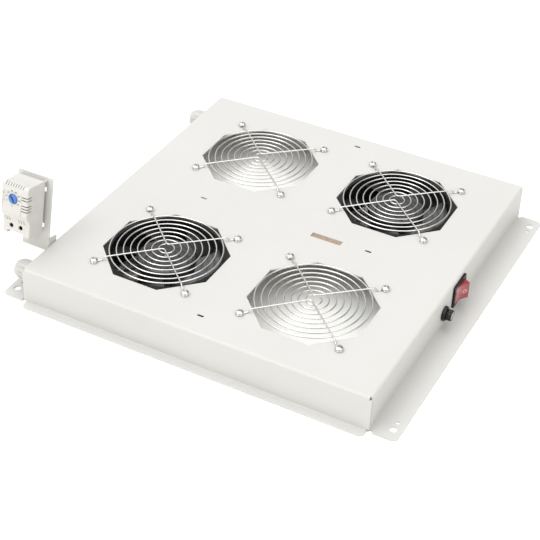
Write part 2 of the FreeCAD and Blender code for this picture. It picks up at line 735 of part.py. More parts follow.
# ---------------------------------------------------------------- fuse holder
barrel = fuse("FuseBarrel", cyl("FuseBarrelA", 6.2, XW - 31.0, FUY, FUZ, 31.5, "x"),
              prism("FuseFlange", 15.2, XW, FUY, FUZ, 3.2, "x", 12),
              cyl("FuseBarrelRim", 6.9, XW + 3.2, FUY, FUZ, 0.5, "x"))
hollow = cyl("FuseBore", 5.2, XW - 29.5, FUY, FUZ, 40.0, "x")
done("fuse_holder_body", cut("FuseHolderBody", barrel, hollow))
done("fuse_holder_nut", cut("FuseNut", prism("FuseNutA", 17.0, XW - T - 3.6, FUY, FUZ, 3.6, "x"),
                            cyl("FuseNutB", 6.26, XW - T - 5, FUY, FUZ, 8.0, "x")))
cap = revolve([(0, 0), (4.9, 0), (5.5, 0.5), (5.7, 1.4), (5.7, 5.4), (0, 5.4)])
cap = cap.cut(Part.makeBox(7.6, 1.3, 1.3, V(-3.8, -0.65, -0.2)))
cap = cap.fuse(Part.makeCylinder(4.9, 12.0, V(0, 0, 5.4))).cut(Part.makeCylinder(2.75, 14.0, V(0, 0, 7.8)))
for k in range(24):
    n = Part.makeCylinder(0.3, 4.5, V(5.8, 0, 1.6))
    n.rotate(V(0, 0, 0), V(0, 0, 1), 15.0 * k)
    cap = cap.cut(n)
done("fuse_cap", solid("FuseCap", cap, Placement(V(XW.v + 9.6, FUY.v, FUZ.v), Rotation(V(0, 1, 0), -90))))
link = revolve([(0, 0), (2.6, 0), (2.6, 5.0), (2.45, 5.0), (2.45, 15.0), (2.6, 15.0), (2.6, 20.0), (0, 20.0)])
done("fuse_link", solid("FuseLink", link, Placement(V(XW.v + 1.7, FUY.v, FUZ.v), Rotation(V(0, 1, 0), -90))))
done("fuse_terminals", group("FuseTerminals", [
    box("FuseTabA", XW - 40.0, XW - 31.0, FUY - 0.4, FUY + 0.4, FUZ - 2.4, FUZ + 2.4),
    cyl("FusePlunger", 2.4, XW - 29.5, FUY, FUZ, 11.0, "x"),
    box("FuseTabB", XW - 27.0, XW - 22.2, FUY + 6.2, FUY + 12.2, FUZ - 0.4, FUZ + 0.4)]))

# ---------------------------------------------------------------- cable glands
def gland(tag, gy):
    body_ = revolve([(4.6, -9.4), (7.6, -9.4), (8.0, -9.0), (8.0, 0), (9.9, 0), (9.9, 5.0), (8.0, 5.0),
                     (8.0, 13.6), (6.2, 13.6), (6.2, 6.6), (4.6, 6.6)])
    c = 20.0 / math.sqrt(3)
    w = Part.makePolygon([V(c * math.cos(math.pi / 3 * i), c * math.sin(math.pi / 3 * i), 0) for i in range(7)])
    hexa = Part.Face(w).extrude(V(0, 0, 5.0))
    hexa = hexa.common(revolve([(0, 0), (c, 0), (c, 4.2), (c - 0.8, 5.0), (0, 5.0)]))
    hexa = hexa.cut(Part.makeCylinder(7.0, 7.0, V(0, 0, -1)))
    body_ = body_.fuse(hexa)
    at = Placement(V(-XW.v, gy.v, GZ.v), Rotation(V(0, 1, 0), -90))
    done("gland_body_" + tag, solid("GlandBody_" + tag, body_, at))
    dome = revolve([(8.06, 5.3), (10.5, 5.3), (10.7, 5.8), (10.7, 13.6), (10.3, 15.2), (9.2, 17.4),
                    (8.6, 19.0), (7.9, 19.9), (5.6, 19.9), (5.1, 19.3), (5.1, 17.8), (7.0, 15.6), (8.06, 14.2)])
    for k in range(12):
        n = Part.makeCylinder(0.9, 9.0, V(11.25, 0, 5.0))
        n.rotate(V(0, 0, 0), V(0, 0, 1), 30.0 * k)
        dome = dome.cut(n)
    done("gland_dome_nut_" + tag, solid("GlandDome_" + tag, dome, at))
    seal = revolve([(3.4, 6.9), (6.15, 6.9), (6.15, 13.9), (4.8, 16.6), (3.4, 16.6)])
    done("gland_seal_" + tag, solid("GlandSeal_" + tag, seal, at))


gland("front", GYF)
gland("rear", GYR)
locks = []
for i, gy in enumerate((GYF, GYR)):
    locks.append(cut("LockNut%d" % i, prism("LockNutA%d" % i, 20.0, -(XW - T), gy, GZ, 4.5, "x"),
                     cyl("LockNutB%d" % i, 8.06, -(XW - T) - 1, gy, GZ, 8.0, "x")))
done("gland_locknuts", group("LockNuts", locks))

# ---------------------------------------------------------------- bracket
# Bracket frame: x right, y back, z up the leaning plate; origin at the plate's
# right edge, front face, level with the top of the wall tab.
b = new_body("Bracket", LOCAL)
s = sketch(b, "Plate", "XZ_Plane")
poly(s, [(-41.6, 0), (-31.7, 0), (-31.7, -13.8), (0, -13.8), (0, 64.6), (-41.6, 64.6)])
pad(b, s, T, reverse=True, name="PlatePad")
s = sketch(b, "Tab", "YZ_Plane")
rect(s, 0, 13.4, -24.0, 0)
pad(b, s, T, reverse=True, name="TabPad")
fillet(b, along(b, "y", lambda p: near(p.z, 64.6)), 2.0, "PlateCorners")
s = sketch(b, "TabHole", "YZ_Plane", 1.0)
circle(s, TABY, TABZ, 2.05)
pocket(b, s, 4.0, name="TabHoleCut")
s = sketch(b, "PlateHoles", "XZ_Plane", 1.0)
circle(s, -27.5, 34.5, 1.7)
circle(s, -15.6, 34.5, 1.7)
pocket(b, s, 4.0, name="PlateHolesCut")
s = sketch(b, "PlateWindows", "XZ_Plane", 1.0)
rect(s, -26.0, -7.0, 9.8, 15.0)
rect(s, -26.0, -7.0, 48.8, 54.0)
pocket(b, s, 4.0, name="PlateWindowsCut")
done("thermostat_bracket", b)
sc = pan_screw(12.0, 1.98, 3.9, 2.5)
done("bracket_screw", solid("BracketScrew", sc, Placement(V(LX - T.v - 0.05, PIVOT.y, PIVOT.z), Rotation(V(0, 1, 0), -90))))

# mounting rail, a top-hat section fixed to the plate by two screws
RX0, RX1 = -31.8, -11.3       # the rail's ends, inside the thermostat's cheeks
b = new_body("Rail", LOCAL)
s = sketch(b, "RailSection", "YZ_Plane", RX0)
rz = 34.5
h2, d2 = RAILW / 2, RAILD
poly(s, [(0, rz - 12.5), (0, rz + 12.5), (-(d2 - 1), rz + 12.5), (-(d2 - 1), h2 + rz), (-d2, h2 + rz),
         (-d2, rz + 11.5), (-1, rz + 11.5), (-1, rz - 11.5), (-d2, rz - 11.5), (-d2, rz - h2),
         (-(d2 - 1), rz - h2), (-(d2 - 1), rz - 12.5)])
pad(b, s, RX1 - RX0, name="RailPad")
s = sketch(b, "RailHoles", "XZ_Plane", 3.0)
circle(s, -27.5, 34.5, 1.7)
circle(s, -15.6, 34.5, 1.7)
pocket(b, s, 5.0, name="RailHolesCut")
done("mounting_rail", b)
rs = []
for x in (-27.5, -15.6):
    a = pan_screw(5.2, 1.5, 2.9, 1.8)
    a.Placement = Placement(V(x, -1.0, 34.5), Rotation(V(1, 0, 0), 90))
    n = hex_nut(5.5, 2.0, 1.56)
    n.Placement = Placement(V(x, 3.5, 34.5), Rotation(V(1, 0, 0), 90))
    rs += [a, n]
done("rail_screws", solid("RailScrews", Part.makeCompound(rs), LOCAL))

# ---------------------------------------------------------------- thermostat
X0, X1 = -37.3, -5.8          # body sides
Z0, Z1 = 6.3, 62.3            # body foot and head
YF, YR, YM = -32.6, -27.0, -14.0   # upper front, lower front, split plane
b = new_body("StatBase", LOCAL)
s = sketch(b, "BaseSide", "YZ_Plane", X0)
poly(s, [(YM, Z0), (-4.4, Z0), (-4.4, 60.7), (-0.6, 60.7), (-0.6, Z1), (YM, Z1)])
pad(b, s, TW, name="BasePad")
# the rail's recess, closed at both sides by a thin cheek
s = sketch(b, "RailWay", "XZ_Plane", 8.0)
rect(s, X0 + 1.3, X1 - 1.3, 16.6, 52.6)
pocket(b, s, 12.0, name="RailWayCut")
s = sketch(b, "BaseRibs", "XY_Plane", Z1)
for k in range(14):
    rect(s, X0 + 2.2 + k * 2.0, X0 + 3.1 + k * 2.0, -5.4, -1.2)
pocket(b, s, 0.9, name="BaseRibsCut")
s = sketch(b, "BaseRoom", "XZ_Plane", -YM + 1)
rect(s, X0 + 1.6, X1 - 1.6, Z0 + 1.6, Z1 - 1.6)
pocket(b, s, 5.2, name="BaseRoomCut")
s = sketch(b, "ClipWay", "XZ_Plane", 9.5)
rect(s, -26.1, -17.0, Z0 - 1, 20.0)
pocket(b, s, 12.0, name="ClipWayCut")
s = sketch(b, "HeadHook", "XZ_Plane", 8.2)
rect(s, -27.0, -16.0, rz + 17.9, 56.4)
pad(b, s, 4.2, reverse=True, name="HeadHookPad")
s = sketch(b, "HeadHookLip", "XZ_Plane", 6.1)
rect(s, -27.0, -16.0, rz + 15.2, 56.4)
pad(b, s, 2.1, reverse=True, name="HeadHookLipPad")
done("thermostat_base", b)

b = new_body("StatCover", LOCAL)
s = sketch(b, "CoverSide", "YZ_Plane", X0)
side = [(YM, Z1), (YF, Z1), (YF, 32.5)]
for k in range(1, 7):
    f = k / 6.0
    side.append((YF + (YR - YF) * (0.5 - 0.5 * math.cos(math.pi * f)), 32.5 - 11.5 * f))
side += [(YR, Z0 + 3.4), (YR, Z0), (YM, Z0)]
poly(s, side)
pad(b, s, TW, name="CoverPad")
fillet(b, along(b, "x", lambda p: near(p.y, YF) and near(p.z, Z1)), 4.2, "CoverBrow")
fillet(b, along(b, "z", lambda p: near(p.y, YF)), 1.3, "CoverSides")
s = sketch(b, "CoverRoom", "XZ_Plane", -YM - 1)
rect(s, X0 + 1.5, X1 - 1.5, Z0 + 1.5, Z1 - 1.5)
pocket(b, s, 1.0 + 16.6 - 5.8, reverse=True, name="CoverRoomCut")
s = sketch(b, "CoverRoomHigh", "XZ_Plane", -YM - 1)
rect(s, X0 + 1.5, X1 - 1.5, 33.5, Z1 - 4.4)
pocket(b, s, 1.0 + 16.9, reverse=True, name="CoverRoomHighCut")
# entry between the two legs at the foot
s = sketch(b, "Entry", "XZ_Plane", -YR + 1)
rect(s, X0 + 5.5, X1 - 7.5, Z0 - 1, Z0 + 3.4)
pocket(b, s, 14.1, name="EntryCut")
# brow slots
s = sketch(b, "BrowSlots", "XY_Plane", Z1 + 1)
for k in range(8):
    x = X0 + 4.2 + k * 2.9
    rect(s, x, x + 1.1, YF - 1, YF + 3.8)
pocket(b, s, 4.0, name="BrowSlotsCut")
# five slots round each front edge
s = sketch(b, "SideSlots", "XZ_Plane", -YF + 1)
for z in (36.7, 39.6, 42.6, 48.5, 51.4):
    rect(s, X1 - 7.1, X1 + 1, z - 0.6, z + 0.6)
    rect(s, X0 - 1, X0 + 2.6, z - 0.6, z + 0.6)
pocket(b, s, 8.2, name="SideSlotsCut")
# small slits above the two terminal holes, and the holes
TX = (X0 + 9.9, X0 + 21.0)
s = sketch(b, "Slits", "XZ_Plane", -YF + 1)
for x in (X0 + 4.9, X0 + 21.9):
    for k in (-1, 0, 1):
        x0 = x - 1.0 + k * 3.0
        poly(s, [(x0, 24.6), (x0 + 0.8, 24.6), (x0 + 2.0, 20.4), (x0 + 1.2, 20.4)])
pocket(b, s, 9.5, name="SlitsCut")
s = sketch(b, "ScrewWays", "XZ_Plane", -YF + 1)
for x in TX:
    circle(s, x, 15.4, 2.4)
pocket(b, s, 10.0, name="ScrewWaysCut")
DX, DZ = X0 + 14.2, 46.9
s = sketch(b, "DialWay", "XZ_Plane", -YF + 1)
circle(s, DX, DZ, 5.45)
pocket(b, s, 3.0, name="DialWayCut")
# shallow panel joint beside the scale
s = sketch(b, "PanelJoint", "XZ_Plane", -YF + 1)
rect(s, X1 - 7.7, X1 - 7.4, 28.5, 54.5)
pocket(b, s, 1.25, name="PanelJointCut")
done("thermostat_cover", b)

dial = revolve([(0, 0), (4.6, 0), (5.1, 0.5), (5.3, 1.4), (5.3, 3.0), (1.9, 3.0), (1.9, 4.8), (0, 4.8)])
dial = dial.cut(Part.makeBox(9.4, 1.5, 1.5, V(-4.7, -0.75, -0.5)))
dial.rotate(V(0, 0, 0), V(0, 0, 1), 45)
at = LOCAL.multiply(Placement(V(DX, YF - 1.3, DZ), Rotation(V(1, 0, 0), -90)))
done("thermostat_dial", solid("Dial", dial, at))
cam = revolve([(0, 4.8), (1.6, 4.8), (1.6, 9.0), (3.2, 9.0), (3.2, 11.0), (1.2, 11.0), (1.2, 13.0), (0, 13.0)])
done("thermostat_spindle", solid("Spindle", cam, at))
done("thermostat_bimetal", solid("Bimetal", Part.makeBox(7.0, 0.5, 24.0, V(DX - 3.5, -18.2, 32.5)).fuse(
    Part.makeBox(7.0, 8.4, 2.0, V(DX - 3.5, -18.2, 56.0))), LOCAL))
done("thermostat_snap_switch", solid("SnapSwitch", Part.makeBox(20.0, 7.8, 9.0, V(X0 + 4.0, -17.6, 22.2)).fuse(
    Part.makeBox(3.0, 1.5, 1.5, V(DX - 1.5, -17.6, 31.0))), LOCAL))
blk = Part.makeBox(24.0, 13.6, 11.0, V(X0 + 3.6, -24.0 + 0.6, 10.4))
for x in TX:
    blk = blk.cut(Part.makeCylinder(2.2, 6.0, V(x, -24.0, 15.4), V(0, 1, 0)))
    blk = blk.cut(Part.makeBox(4.4, 5.0, 8.0, V(x - 2.2, -21.0, 9.0)))
done("thermostat_terminal_block", solid("TermBlock", blk, LOCAL))
ts = []
for x in TX:
    a = revolve([(0, 0), (2.1, 0), (2.1, 1.6), (1.3, 1.6), (1.3, 2.4), (0, 2.4)])
    a = a.cut(Part.makeBox(4.6, 0.7, 1.0, V(-2.3, -0.35, -0.3)))
    a.Placement = Placement(V(x, -23.4, 15.4), Rotation(V(1, 0, 0), -90))
    ts.append(a)
done("thermostat_terminal_screws", solid("TermScrews", Part.makeCompound(ts), LOCAL))
clip = Part.makeBox(8.6, 2.0, 19.6, V(-25.85, -9.3, 0.0)).fuse(
    Part.makeBox(8.6, 3.2, 2.4, V(-25.85, -7.6, 13.6))).fuse(
    Part.makeBox(8.6, 1.9, 5.0, V(-25.85, -6.3, 13.6))).fuse(Part.makeBox(8.6, 1.2, 3.0, V(-25.85, -10.4, 0.0)))
clip = clip.cut(Part.makeBox(4.0, 6.0, 2.0, V(-23.5, -11.0, 1.4)))
clip = clip.cut(Part.makeBox(20.0, 1.2, 10.0, V(-30.0, -7.58, 16.95)))
done("thermostat_rail_clip", solid("RailClip", clip, LOCAL))

# ---------------------------------------------------------------- wiring
b = new_body("TermBoard")
s = sketch(b, "BoardOutline", "XY_Plane", H - T - 1.6)
rect(s, 19.0, 65.5, -16.0, 16.0)
pad(b, s, 1.6, name="BoardPad")
s = sketch(b, "BoardHoles", "XY_Plane", H - T)
for x, y in STUDS[:2]:
    circle(s, x, y, 2.1)
pocket(b, s, 3.0, name="BoardHolesCut")
done("terminal_board", b)
strip = Part.makeBox(30.0, 15.0, 12.0, V(26.5, -7.5, 25.9))
for k in range(4):
    x = 26.5 + 3.75 + 7.5 * k
    for y in (-4.2, 4.2):
        strip = strip.cut(Part.makeCylinder(2.0, 5.0, V(x, y, 24.0)))
    strip = strip.cut(Part.makeCylinder(1.9, 20.0, V(x, -10.0, 31.5), V(0, 1, 0)))
    if k < 3:
        strip = strip.cut(Part.makeBox(0.8, 20.0, 3.0, V(x + 3.35, -10.0, 25.0)))
done("terminal_strip", solid("TermStrip", strip))
ts = []
for k in range(4):
    for y in (-4.2, 4.2):
        a = revolve([(0, 0), (1.9, 0), (1.9, 1.8), (0, 1.8)]).cut(Part.makeBox(4.2, 0.7, 0.8, V(-2.1, -0.35, -0.2)))
        a.rotate(V(0, 0, 0), V(0, 0, 1), 25.0 * k + (10 if y > 0 else 60))
        a.translate(V(26.5 + 3.75 + 7.5 * k, y, 27.2))
        ts.append(a)
done("terminal_strip_screws", solid("TermStripScrews", Part.makeCompound(ts)))

# wire saddles pushed into three of the small slots, each with an eye for a lead
sad = []
for x, y in ((93.5, 1.5), (-0.7, -173.5), (-1.2, 178.4)):
    zt = H.v - T.v - 0.05
    a = Part.makeBox(11.0, 7.0, 7.5, V(x - 5.5, y - 3.5, zt - 7.5))
    a = a.cut(Part.makeCylinder(2.4, 9.0, V(x, y - 4.5, zt - 4.3), V(0, 1, 0)))
    a = a.cut(Part.makeBox(1.0, 9.0, 4.0, V(x - 0.5, y - 4.5, zt - 8.0)))
    sad.append(a.fuse(Part.makeBox(5.0, 1.7, 1.35, V(x - 2.5, y - 0.85, zt))))
done("wire_saddles", solid("WireSaddles", Part.makeCompound(sad)))


def lead(label, pts, radii, r):
    shp = tube(pts, radii, r)
    done(label, solid(label.title().replace("_", ""), shp))


cxl, cyl_ = FAN_POS["front_left"]
cxr, cyr = FAN_POS["rear_right"]
k = 68.7 / math.sqrt(2)
lead("fan_lead_front_left", [(cxl.v + k, cyl_.v + k, 19.2), (-12.0, -38.0, 20.0), (30.25, -34.0, 26.0),
                             (30.25, -7.55, 31.5)], [40.0, 12.0], 1.5)
lead("fan_lead_rear_right", [(cxr.v - k, cyr.v - k, 19.2), (30.25, 34.0, 22.0), (30.25, 20.0, 31.5),
                             (30.25, 7.55, 31.5)], [15.0, 12.0], 1.5)
lead("switch_lead", [(XW.v - 33.1, SWY.v + 7.5, SWZ.v + 5.5), (120.0, 22.0, 26.0), (80.0, 30.0, 26.0),
                     (52.75, 32.0, 28.0), (52.75, 7.55, 31.5)], [60.0, 60.0, 10.0], 1.5)
lead("fuse_lead", [(XW.v - 40.1, FUY.v, FUZ.v), (128.0, FUY.v, FUZ.v), (128.0, SWY.v - 7.5, SWZ.v - 5.5),
                   (XW.v - 33.1, SWY.v - 7.5, SWZ.v - 5.5)], [9.5, 9.5], 1.5)

# ---------------------------------------------------------------- write out
doc.recompute()
bad = []
for o in doc.Objects:
    if "Invalid" in o.State or "Error" in o.State:
        bad.append("%s %s" % (o.Name, o.State))
for label, o in NODES:
    shp = o.Shape
    if shp.isNull() or not shp.isValid() or not shp.Solids:
        bad.append("%s shape null %s valid %s" % (label, shp.isNull(), (not shp.isNull()) and shp.isValid()))
if bad:
    raise SystemExit("not written: " + "; ".join(bad))
os.makedirs("parts", exist_ok=True)
for label, o in NODES:
    o.Shape.exportStep(os.path.join("parts", label + ".step"))
    print("%-28s solids %2d  volume %10.1f" % (label, len(o.Shape.Solids), o.Shape.Volume))
print(len(NODES), "nodes")
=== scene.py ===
import json
import math

import bmesh
import bpy
from mathutils import Matrix, Vector

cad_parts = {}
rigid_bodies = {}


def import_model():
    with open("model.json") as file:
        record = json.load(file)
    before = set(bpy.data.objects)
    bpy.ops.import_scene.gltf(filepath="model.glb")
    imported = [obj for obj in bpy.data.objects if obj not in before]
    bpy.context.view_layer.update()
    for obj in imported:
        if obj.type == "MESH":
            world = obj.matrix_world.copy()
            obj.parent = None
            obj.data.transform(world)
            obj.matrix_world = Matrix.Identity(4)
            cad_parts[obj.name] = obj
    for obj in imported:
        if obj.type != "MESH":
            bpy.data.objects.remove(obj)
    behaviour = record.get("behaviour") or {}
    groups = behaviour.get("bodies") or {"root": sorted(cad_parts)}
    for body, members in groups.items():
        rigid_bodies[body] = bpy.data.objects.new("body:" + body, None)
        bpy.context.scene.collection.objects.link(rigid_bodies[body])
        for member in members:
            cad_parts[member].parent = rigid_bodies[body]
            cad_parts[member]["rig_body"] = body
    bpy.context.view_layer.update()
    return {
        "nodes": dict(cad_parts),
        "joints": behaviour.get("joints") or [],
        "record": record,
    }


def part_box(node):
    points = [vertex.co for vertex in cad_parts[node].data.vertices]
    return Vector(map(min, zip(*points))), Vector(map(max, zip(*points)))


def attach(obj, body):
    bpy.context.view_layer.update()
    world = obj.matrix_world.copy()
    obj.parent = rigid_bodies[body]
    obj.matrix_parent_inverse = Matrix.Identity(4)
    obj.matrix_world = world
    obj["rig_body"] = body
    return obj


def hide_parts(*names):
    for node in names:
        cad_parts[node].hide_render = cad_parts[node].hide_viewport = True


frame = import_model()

S = 0.001                      # one millimetre
V = Vector
NODES = frame["nodes"]
COL = bpy.context.scene.collection


# ------------------------------------------------------------------ mesh help
def mid(node):
    lo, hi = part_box(node)
    return (lo + hi) / 2


def add(name, bm, mats, body, sharp=32.0, replaces=(), place=None):
    """A bmesh as a finished object: smooth shading, creases kept sharp."""
    if place is not None:
        bm.transform(place)
    bmesh.ops.recalc_face_normals(bm, faces=bm.faces)
    limit = math.radians(sharp)
    for f in bm.faces:
        f.smooth = True
    for e in bm.edges:
        if len(e.link_faces) == 2:
            e.smooth = e.calc_face_angle(0.0) < limit
        else:
            e.smooth = False
    me = bpy.data.meshes.new(name)
    bm.to_mesh(me)
    bm.free()
    for m in (mats if isinstance(mats, (list, tuple)) else [mats]):
        me.materials.append(m)
    o = bpy.data.objects.new(name, me)
    COL.objects.link(o)
    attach(o, body)
    if replaces:
        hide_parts(*replaces)
    return o


def merge(bm, other, m=None):
    """Adds another bmesh's geometry to bm and frees it."""
    if m is not None:
        other.transform(m)
    me = bpy.data.meshes.new("tmp")
    other.to_mesh(me)
    other.free()
    bm.from_mesh(me)
    bpy.data.meshes.remove(me)


def arc_corner(a, b, c, r, n):
    """Points of a fillet of radius r at b between the runs a-b and b-c (any dimension)."""
    p, q, s = V(a), V(b), V(c)
    u, w = (p - q), (s - q)
    lu, lw = u.length, w.length
    if lu < 1e-9 or lw < 1e-9:
        return [tuple(b)]
    u.normalize(), w.normalize()
    ang = u.angle(w, math.pi)
    if ang > math.pi - 1e-3 or r <= 0:
        return [tuple(b)]
    t = min(r / math.tan(ang / 2), lu * 0.49, lw * 0.49)
    r = t * math.tan(ang / 2)
    h = (u + w).normalized()
    cen = q + h * (r / math.sin(ang / 2))
    s0, s1 = q + u * t - cen, q + w * t - cen
    tot = s0.angle(s1, 0.0)
    out = []
    for i in range(n + 1):
        f = i / n
        if tot < 1e-6:
            k = s0
        else:
            k = (s0 * math.sin((1 - f) * tot) + s1 * math.sin(f * tot)) / math.sin(tot)
        out.append(tuple(cen + k))
    return out


def rounded(points, radii, n=4, closed=True):
    """A polygon or path with its corners turned into arcs."""
    pts = [tuple(p) for p in points]
    m = len(pts)
    if not isinstance(radii, (list, tuple)):
        radii = [radii] * m
    out = []
    for i in range(m):
        if not closed and i in (0, m - 1):
            out.append(pts[i])
        else:
            out += arc_corner(pts[i - 1], pts[i], pts[(i + 1) % m], radii[i], n)
    clean = []
    for p in out:
        if not clean or (V(p) - V(clean[-1])).length > 1e-5:
            clean.append(p)
    if closed and len(clean) > 1 and (V(clean[0]) - V(clean[-1])).length < 1e-5:
        clean.pop()
    return clean


def lathe(prof, segs=64, closed=True, wave=None):
    """(radius, height) points in millimetres turned about Z. wave(radius, height, angle) may change the radius."""
    bm = bmesh.new()
    rings = []
    for r, z in prof:
        if r < 1e-6:
            rings.append([bm.verts.new((0, 0, z * S))])
        else:
            ring = []
            for k in range(segs):
                a = 2 * math.pi * k / segs
                rr = wave(r, z, a) if wave else r
                ring.append(bm.verts.new((rr * S * math.cos(a), rr * S * math.sin(a), z * S)))
            rings.append(ring)
    n = len(rings)
    for i in range(n if closed else n - 1):
        a, b = rings[i], rings[(i + 1) % n]
        if len(a) == 1 and len(b) == 1:
            continue
        for k in range(segs):
            k2 = (k + 1) % segs
            if len(a) == 1:
                bm.faces.new((a[0], b[k], b[k2]))
            elif len(b) == 1:
                bm.faces.new((a[k], b[0], a[k2]))
            else:
                bm.faces.new((a[k], b[k], b[k2], a[k2]))
    return bm


def prism(outline, z0, z1, bevel=0.0, segs=2):
    """A closed 2D outline (mm) extruded from z0 to z1, its top and bottom rims bevelled."""
    bm = bmesh.new()
    lo = [bm.verts.new((x * S, y * S, z0 * S)) for x, y in outline]
    hi = [bm.verts.new((x * S, y * S, z1 * S)) for x, y in outline]
    n = len(outline)
    bm.faces.new(lo[::-1])
    top = bm.faces.new(hi)
    for i in range(n):
        j = (i + 1) % n
        bm.faces.new((lo[i], lo[j], hi[j], hi[i]))
    bmesh.ops.recalc_face_normals(bm, faces=bm.faces)
    if bevel > 0:
        rim = [e for e in bm.edges if abs(e.verts[0].co.z - e.verts[1].co.z) < 1e-9]
        bmesh.ops.bevel(bm, geom=rim, offset=bevel * S, segments=segs, affect="EDGES", profile=0.5)
    return bm


def block(lo, hi, r=0.3, segs=2):
    """A box (mm corners) with rounded edges."""
    bm = bmesh.new()
    bmesh.ops.create_cube(bm, size=1.0)
    lo, hi = V(lo) * S, V(hi) * S
    for v in bm.verts:
        v.co = V([lo[i] + (v.co[i] + 0.5) * (hi[i] - lo[i]) for i in range(3)])
    if r > 0:
        bmesh.ops.bevel(bm, geom=bm.edges[:], offset=r * S, segments=segs, affect="EDGES", profile=0.5)
    return bm


def rod(r, z0, z1, segs=32, bev=0.2):
    """A round bar along Z with chamfered ends (mm)."""
    return lathe([(0, z0), (r - bev, z0), (r, z0 + bev), (r, z1 - bev), (r - bev, z1), (0, z1)], segs, closed=False)


def frames_along(pts, closed=False):
    n = len(pts)
    tang = []
    for i in range(n):
        a = pts[i - 1] if (i > 0 or closed) else pts[i]
        b = pts[(i + 1) % n] if (i < n - 1 or closed) else pts[i]
        tang.append((b - a).normalized())
    nrm = tang[0].orthogonal().normalized()
    if abs(tang[0].z) < 0.9:
        nrm = (V((0, 0, 1)) - tang[0] * tang[0].z).normalized()
    out = []
    for i in range(n):
        nrm = (nrm - tang[i] * nrm.dot(tang[i]))
        nrm.normalize()
        out.append((tang[i], nrm.copy(), tang[i].cross(nrm)))
    return out


def wire(points, r, segs=12, closed=False, shape=None):
    """A round bar swept along points (mm). shape(i, n) may return (side scale, normal scale)."""
    pts = [V(p) * S for p in points]
    fr = frames_along(pts, closed)
    bm = bmesh.new()
    rings = []
    n = len(pts)
    for i, p in enumerate(pts):
        t, nn, bb = fr[i]
        sx, sy = shape(i, n) if shape else (1.0, 1.0)
        rings.append([bm.verts.new(p + (bb * math.cos(a) * sx + nn * math.sin(a) * sy) * r * S)
                      for a in [2 * math.pi * k / segs for k in range(segs)]])
    for i in range(n if closed else n - 1):
        a, b = rings[i], rings[(i + 1) % n]
        for k in range(segs):
            k2 = (k + 1) % segs
            bm.faces.new((a[k], b[k], b[k2], a[k2]))
    if not closed:
        for ring, t, flip in ((rings[0], -fr[0][0], True), (rings[-1], fr[-1][0], False)):
            c = sum((v.co for v in ring), V()) / segs
            tip = bm.verts.new(c + t * r * S * 0.35)
            for k in range(segs):
                bm.faces.new((ring[k], ring[(k + 1) % segs], tip))
    return bm


def chaikin(pts, times=2, closed=False):
    pts = [V(p) for p in pts]
    for _ in range(times):
        out = [] if closed else [pts[0]]
        m = len(pts)
        for i in range(m if closed else m - 1):
            a, b = pts[i], pts[(i + 1) % m]
            out += [a * 0.75 + b * 0.25, a * 0.25 + b * 0.75]
        if not closed:
            out.append(pts[-1])
        pts = out
    return pts


def turned(x=0, y=0, z=0, rx=0, ry=0, rz=0):
    m = Matrix.Translation(V((x, y, z)) * S)
    for ang, ax in ((rz, "Z"), (ry, "Y"), (rx, "X")):
        if ang:
            m = m @ Matrix.Rotation(math.radians(ang), 4, ax)
    return m


def temp(bm):
    me = bpy.data.meshes.new("cutter")
    bmesh.ops.recalc_face_normals(bm, faces=bm.faces)
    bm.to_mesh(me)
    bm.free()
    o = bpy.data.objects.new("cutter", me)
    COL.objects.link(o)
    return o


def carve(bm, cutters, union=()):
    """The bmesh with each cutter cut away (and each union piece added), as a new bmesh."""
    base = temp(bm)
    tools = []
    for group, op in ((union, "UNION"), (cutters, "DIFFERENCE")):
        for c in group:
            t = temp(c)
            tools.append(t)
            mod = base.modifiers.new("b", "BOOLEAN")
            mod.object = t
            mod.operation = op
            mod.solver = "EXACT"
    dg = bpy.context.evaluated_depsgraph_get()
    dg.update()
    me = bpy.data.meshes.new_from_object(base.evaluated_get(dg))
    out = bmesh.new()
    out.from_mesh(me)
    for o in [base] + tools:
        m = o.data
        bpy.data.objects.remove(o)
        bpy.data.meshes.remove(m)
    bpy.data.meshes.remove(me)
    bmesh.ops.remove_doubles(out, verts=out.verts, dist=1e-7)
    return out


